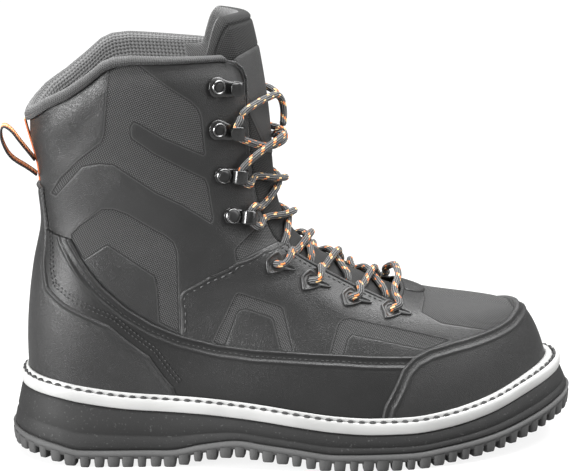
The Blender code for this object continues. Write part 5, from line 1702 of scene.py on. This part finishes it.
# The lace's way round a hook: ahead of the rivet, up the flap and out.
hookTurn = ((0.0150, -0.0044, -0.0004), (0.0122, -0.0030, 0.0), (0.0100, 0.0, 0.0), (0.0096, 0.0034, 0.0),
            (0.0110, 0.0060, 0.0002))
strandForm = {"apart": 0.0036, "under": -0.0044, "over": 0.0034, "tongue": -0.0006, "knotHalf": 0.0082,
              "knotRadius": 0.0023}


def laceHalf(side, rows):
    # Points of one half of the lace, from the toe-most hole to its open hook, changing sides at each row.
    form = strandForm
    points, here = [], side

    def across(share, low, high, s, offset):
        level = rowLevel(low, s, form["apart"]) * (1 - share) + rowLevel(high, s, -form["apart"]) * share
        return onLast(s, level, offset)

    for index, row in enumerate(rows):
        _, _, s, v, kind = row
        place = s if here > 0 else 1 - s
        axes, origin = placeFrame(place, v, here, 0.0)
        ahead, normal, up = axes[:, 0], axes[:, 2], axes[:, 1] * here
        if kind == "hole":
            points += [origin + normal * 0.0042 + ahead * 0.0030, origin + normal * 0.0012,
                       origin - normal * 0.0030 + ahead * 0.0004]
            edge = rowEdge(row, form["apart"])
            inside = [edge - 0.012, edge - 0.001]
            points += [onLast(x if here > 0 else 1 - x, rowLevel(row, x, form["apart"] * 0.7), form["under"])
                       for x in inside]
        else:
            high = hookForm["offset"] + hookForm["laceHeight"]
            drop = 0.0 if kind == "lock" else hookForm["drop"]
            for x, rise, lift in hookTurn:
                points.append(origin + ahead * x + up * (rise - drop) + normal * (high + lift))
        if index + 1 == len(rows):
            break
        after = rows[index + 1]
        start, end = rowEdge(row, form["apart"]), rowEdge(after, -form["apart"])
        start, end = start + 0.018, 1 - end - 0.016
        if after[4] == "open":
            # Half knot: both strands turn once round a line across the front.
            centre = across(0.52, row, after, 0.5, form["tongue"] + form["knotRadius"] + 0.0006)
            outward = normalAt(0.5, v)
            for step in np.linspace(-1, 1, 7):
                phase = np.pi * here * step + (0.5 if side > 0 else -0.5) * np.pi
                aside = (0.0, here * step * form["knotHalf"], form["knotRadius"] * np.sin(phase))
                points.append(centre + outward * form["knotRadius"] * np.cos(phase) + np.array(aside))
        else:
            over = 0.0019 * side * (1 if index % 2 else -1)
            for share in (0.0, 0.25, 0.5, 0.75, 1.0):
                x = start + (end - start) * share
                hump = math.exp(-(((share - 0.5) / 0.2) ** 2))
                lift = 0.0003 * math.sin(math.pi * share) + (0.0017 + over) * hump
                points.append(across(share, row, after, x if here > 0 else 1 - x, form["tongue"] + lift))
        if after[4] == "hole":
            x = 1 - end - 0.012
            level = rowLevel(after, x, -form["apart"] * 0.5)
            points.append(onLast(1 - x if here > 0 else x, level, form["over"]))
        here = -here
    return points


def makeLace():
    # Bar over the toe-most holes and both halves of the lace, in one length.
    rows = laceRows()
    first, second = laceHalf(1, rows), laceHalf(-1, rows)
    bar = []
    for share in (0.10, 0.3, 0.5, 0.7, 0.9):
        s = rows[0][2] + (1 - 2 * rows[0][2]) * share
        height = 0.0030 + laceForm["arch"] * math.sin(math.pi * share)
        bar.append(onLast(s, rowLevel(rows[0], s, -0.0006), height))
    points = first[::-1] + bar + second
    # The half that starts on the outer side ends on one hook, and its loop goes on from there.
    ends = sorted((np.array(loopOuter[0]), np.array(loopInner[0])),
                  key=lambda end: np.linalg.norm(points[0] - end))
    points = [ends[0]] + points + [ends[1]]
    length = pathLength(smoothPath(np.array(points), 3000))
    path = smoothPath(np.array(points), round(length / 0.0009))
    piece = tubeMesh("laceLength", path, laceForm["radius"], laceForm["sides"], laceBraid)
    for node in ["lace_bar"] + [f"lace_cross_{i + 1}" for i in range(6)]:
        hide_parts(node)
    print("lace length", round(length, 3))


makeLoops()
makeLace()
print("lace made")


# Pull loop, edges and stitches

pullRoute = (
    (-0.0283, 0.1605), (-0.0340, 0.1648), (-0.0428, 0.1712), (-0.0466, 0.1780), (-0.0478, 0.1845),
    (-0.0464, 0.1884), (-0.0430, 0.1868), (-0.0392, 0.1822), (-0.0350, 0.1765), (-0.0293, 0.1690),
)
strapForm = {"width": 0.0115, "thickness": 0.0013, "stripe": 0.0043}


def webbingMaterial():
    # Black tape with a woven orange band along its middle, and a painted highlight as a pale stripe in its
    # centre, by the distance across.
    material, tree, shader = newMaterial("pullTape")
    parts = addNode(tree, "ShaderNodeSeparateXYZ", {"Vector": objectPlace(tree)})
    away = arithmetic(tree, "ABSOLUTE", parts.outputs["Y"])
    inBand = remap(tree, away, strapForm["stripe"], strapForm["stripe"] - 0.0003)
    highlightStripe = remap(tree, away, 0.0016, 0.0013)
    rib = arithmetic(tree, "SINE", arithmetic(tree, "MULTIPLY", parts.outputs["Z"], 2 * math.pi / 0.0011))
    # Painted highlight: the pale centre stripe is a lighter copy of the orange.
    band = blendColors(tree, highlightStripe, (0.55, 0.14, 0.045, 1.0), (0.85, 0.58, 0.24, 1.0))
    color = blendColors(tree, inBand, gray(0.018), band)
    tree.links.new(color, shader.inputs["Base Color"])
    tree.links.new(bump(tree, arithmetic(tree, "MULTIPLY", rib, 0.00015), 1.0, 1.0), shader.inputs["Normal"])
    shader.inputs["Roughness"].default_value = 0.75
    return material


pullTape = webbingMaterial()


def strapSections(route, width, thickness):
    # Rounded flat section swept along a side route of x and z.
    fine = smoothPath(np.column_stack([np.array(route), np.zeros(len(route))]), 90)[:, :2]
    ahead = np.gradient(fine, axis=0)
    ahead /= np.linalg.norm(ahead, axis=1)[:, None]
    turn = np.arange(20) / 20 * 2 * np.pi + np.pi / 20
    across = np.sign(np.cos(turn)) * np.abs(np.cos(turn)) ** 0.25 * width / 2
    lift = np.sign(np.sin(turn)) * np.abs(np.sin(turn)) ** 0.7 * thickness / 2
    x = fine[:, :1] - ahead[:, 1:] * lift[None]
    z = fine[:, 1:] + ahead[:, :1] * lift[None]
    return np.stack([x, np.broadcast_to(across[None], x.shape), z], axis=-1)


def makePullLoop():
    sections = strapSections(pullRoute, strapForm["width"], strapForm["thickness"])
    piece = loftMesh("pullTapeLoop", sections, pullTape)
    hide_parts("pull_loop")
    # The same tape is sewn down the back of the shaft.
    levels = np.linspace(6.45, edgeLevels(np.array([0.0]), collarEdge)[0] - 0.02, 70)
    share = np.linspace(-1, 1, 15)
    ring = share[None] * 0.0118 * np.ones((70, 1))
    rim = np.sqrt(np.clip(1 - np.abs(share) ** 6, 0, 1))[None]
    outer = onLast(ring, levels[:, None], 0.0003 + 0.0006 * rim)
    slab("backTape", outer, onLast(ring, levels[:, None], 0.0), pullTape)


def insetLine(line, distance, count=160):
    # A line of ring places moved sideways over the boot by a distance, square to itself.
    fine = evenOnLast(line, count)
    s, v = fine[:, 0], fine[:, 1]
    points = onLast(s, v)
    ahead = np.gradient(points, axis=0)
    side = np.cross(normalAt(s, v), ahead)
    side /= np.linalg.norm(side, axis=1)[:, None]
    byS, byV = (onLast(s + 1e-3, v) - points) / 1e-3, (onLast(s, v + 1e-2) - points) / 1e-2
    ss, sv, vv = np.sum(byS * byS, 1), np.sum(byS * byV, 1), np.sum(byV * byV, 1)
    toS, toV = np.sum(byS * side, 1) * distance, np.sum(byV * side, 1) * distance
    area = ss * vv - sv * sv
    return np.column_stack([s + (toS * vv - toV * sv) / area, v + (ss * toV - sv * toS) / area])


def twoSided(line):
    mirror = line.copy()
    mirror[:, 0] = 1 - mirror[:, 0]
    return [line, mirror]


# Rows of thread beside the seams: piece, line, ways inside its edge, pitch, share of the pitch that
# shows, width and height of a stitch, and thread.
threadRows = (
    ("seamThread", seamPlaces[:-1], (0.0028,), 0.0044, 0.55, 0.00075, 0.0009, threadGray),
    ("counterThread", counterPlaces[:-1], (0.0034, 0.0056), 0.0026, 0.62, 0.0006, 0.0022, threadDark),
    ("randThread", randPlaces[1:], (-0.0040,), 0.0030, 0.62, 0.0006, 0.0013, threadDark),
    ("capThread", capPlaces[1:], (-0.0036,), 0.0030, 0.62, 0.0005, 0.0024, threadDark),
    ("throatThread", throatPlaces[throatPlaces[:, 1] < seamPlaces[0, 1]], (-0.0028,), 0.0032, 0.6, 0.0006,
     0.0009, threadDark),
    ("flapThread", throatPlaces[:5], (-0.0024,), 0.0030, 0.6, 0.00055, 0.0002, threadDark),
)


def makeStitches():
    for name, line, insets, pitch, share, width, offset, thread in threadRows:
        lines = []
        for inset in insets:
            lines += twoSided(insetLine(line, inset))
        points, faces = stitchRow(lines, pitch, share, width, offset)
        makeMesh(name, points, faces, thread)


trimForm = {"radius": 0.00125, "offset": 0.0003, "steps": 420, "sides": 10}
patchForm = {"start": 0.1795, "length": 0.0135, "half": 0.052, "thickness": 0.0013, "edge": 0.0004,
             "round": 0.0016, "columns": 40, "rows": 60}


def makeThroatTrim():
    # Raised edge all round the throat of the vamp, and a smooth patch under its lower end.
    half = throatRim()
    mirror = half[-2::-1].copy()
    mirror[:, 0] = 1 - mirror[:, 0]
    fine = evenOnLast(np.vstack([half, mirror]), trimForm["steps"])
    path = onLast(fine[:, 0], fine[:, 1], trimForm["offset"])
    loftMesh("throatTrim", tubeSections(path, trimForm["radius"], trimForm["sides"]), capLeather)
    form = patchForm
    u = np.linspace(0, 1, form["columns"])[None]
    w = np.linspace(-1, 1, form["rows"])[:, None]
    # Half disc ahead of the throat: its length ahead falls off as a circle to both sides.
    reach = form["length"] * np.sqrt(np.clip(1 - w ** 2 * 0.96, 0, 1))
    s = 0.5 + w * form["half"]
    start = levelAtX(s.ravel(), form["start"])[:, None]
    end = levelAtX(s.ravel(), form["start"] + reach.ravel())[:, None]
    v = start + (end - start) * u
    s2 = np.broadcast_to(s, v.shape)
    points = onLast(s2, v)
    rim = np.minimum.reduce([np.linalg.norm(points - edge, axis=2)
                             for edge in (points[:, -1:], points[:1], points[-1:])])
    outer = onLast(s2, v, form["edge"] + form["thickness"] * roundedEdge(rim, form["round"]))
    slab("throatPatch", outer, onLast(s2, v, 0.0001), capLeather)


makePullLoop()
makeStitches()
makeThroatTrim()
print("edges and stitches made")
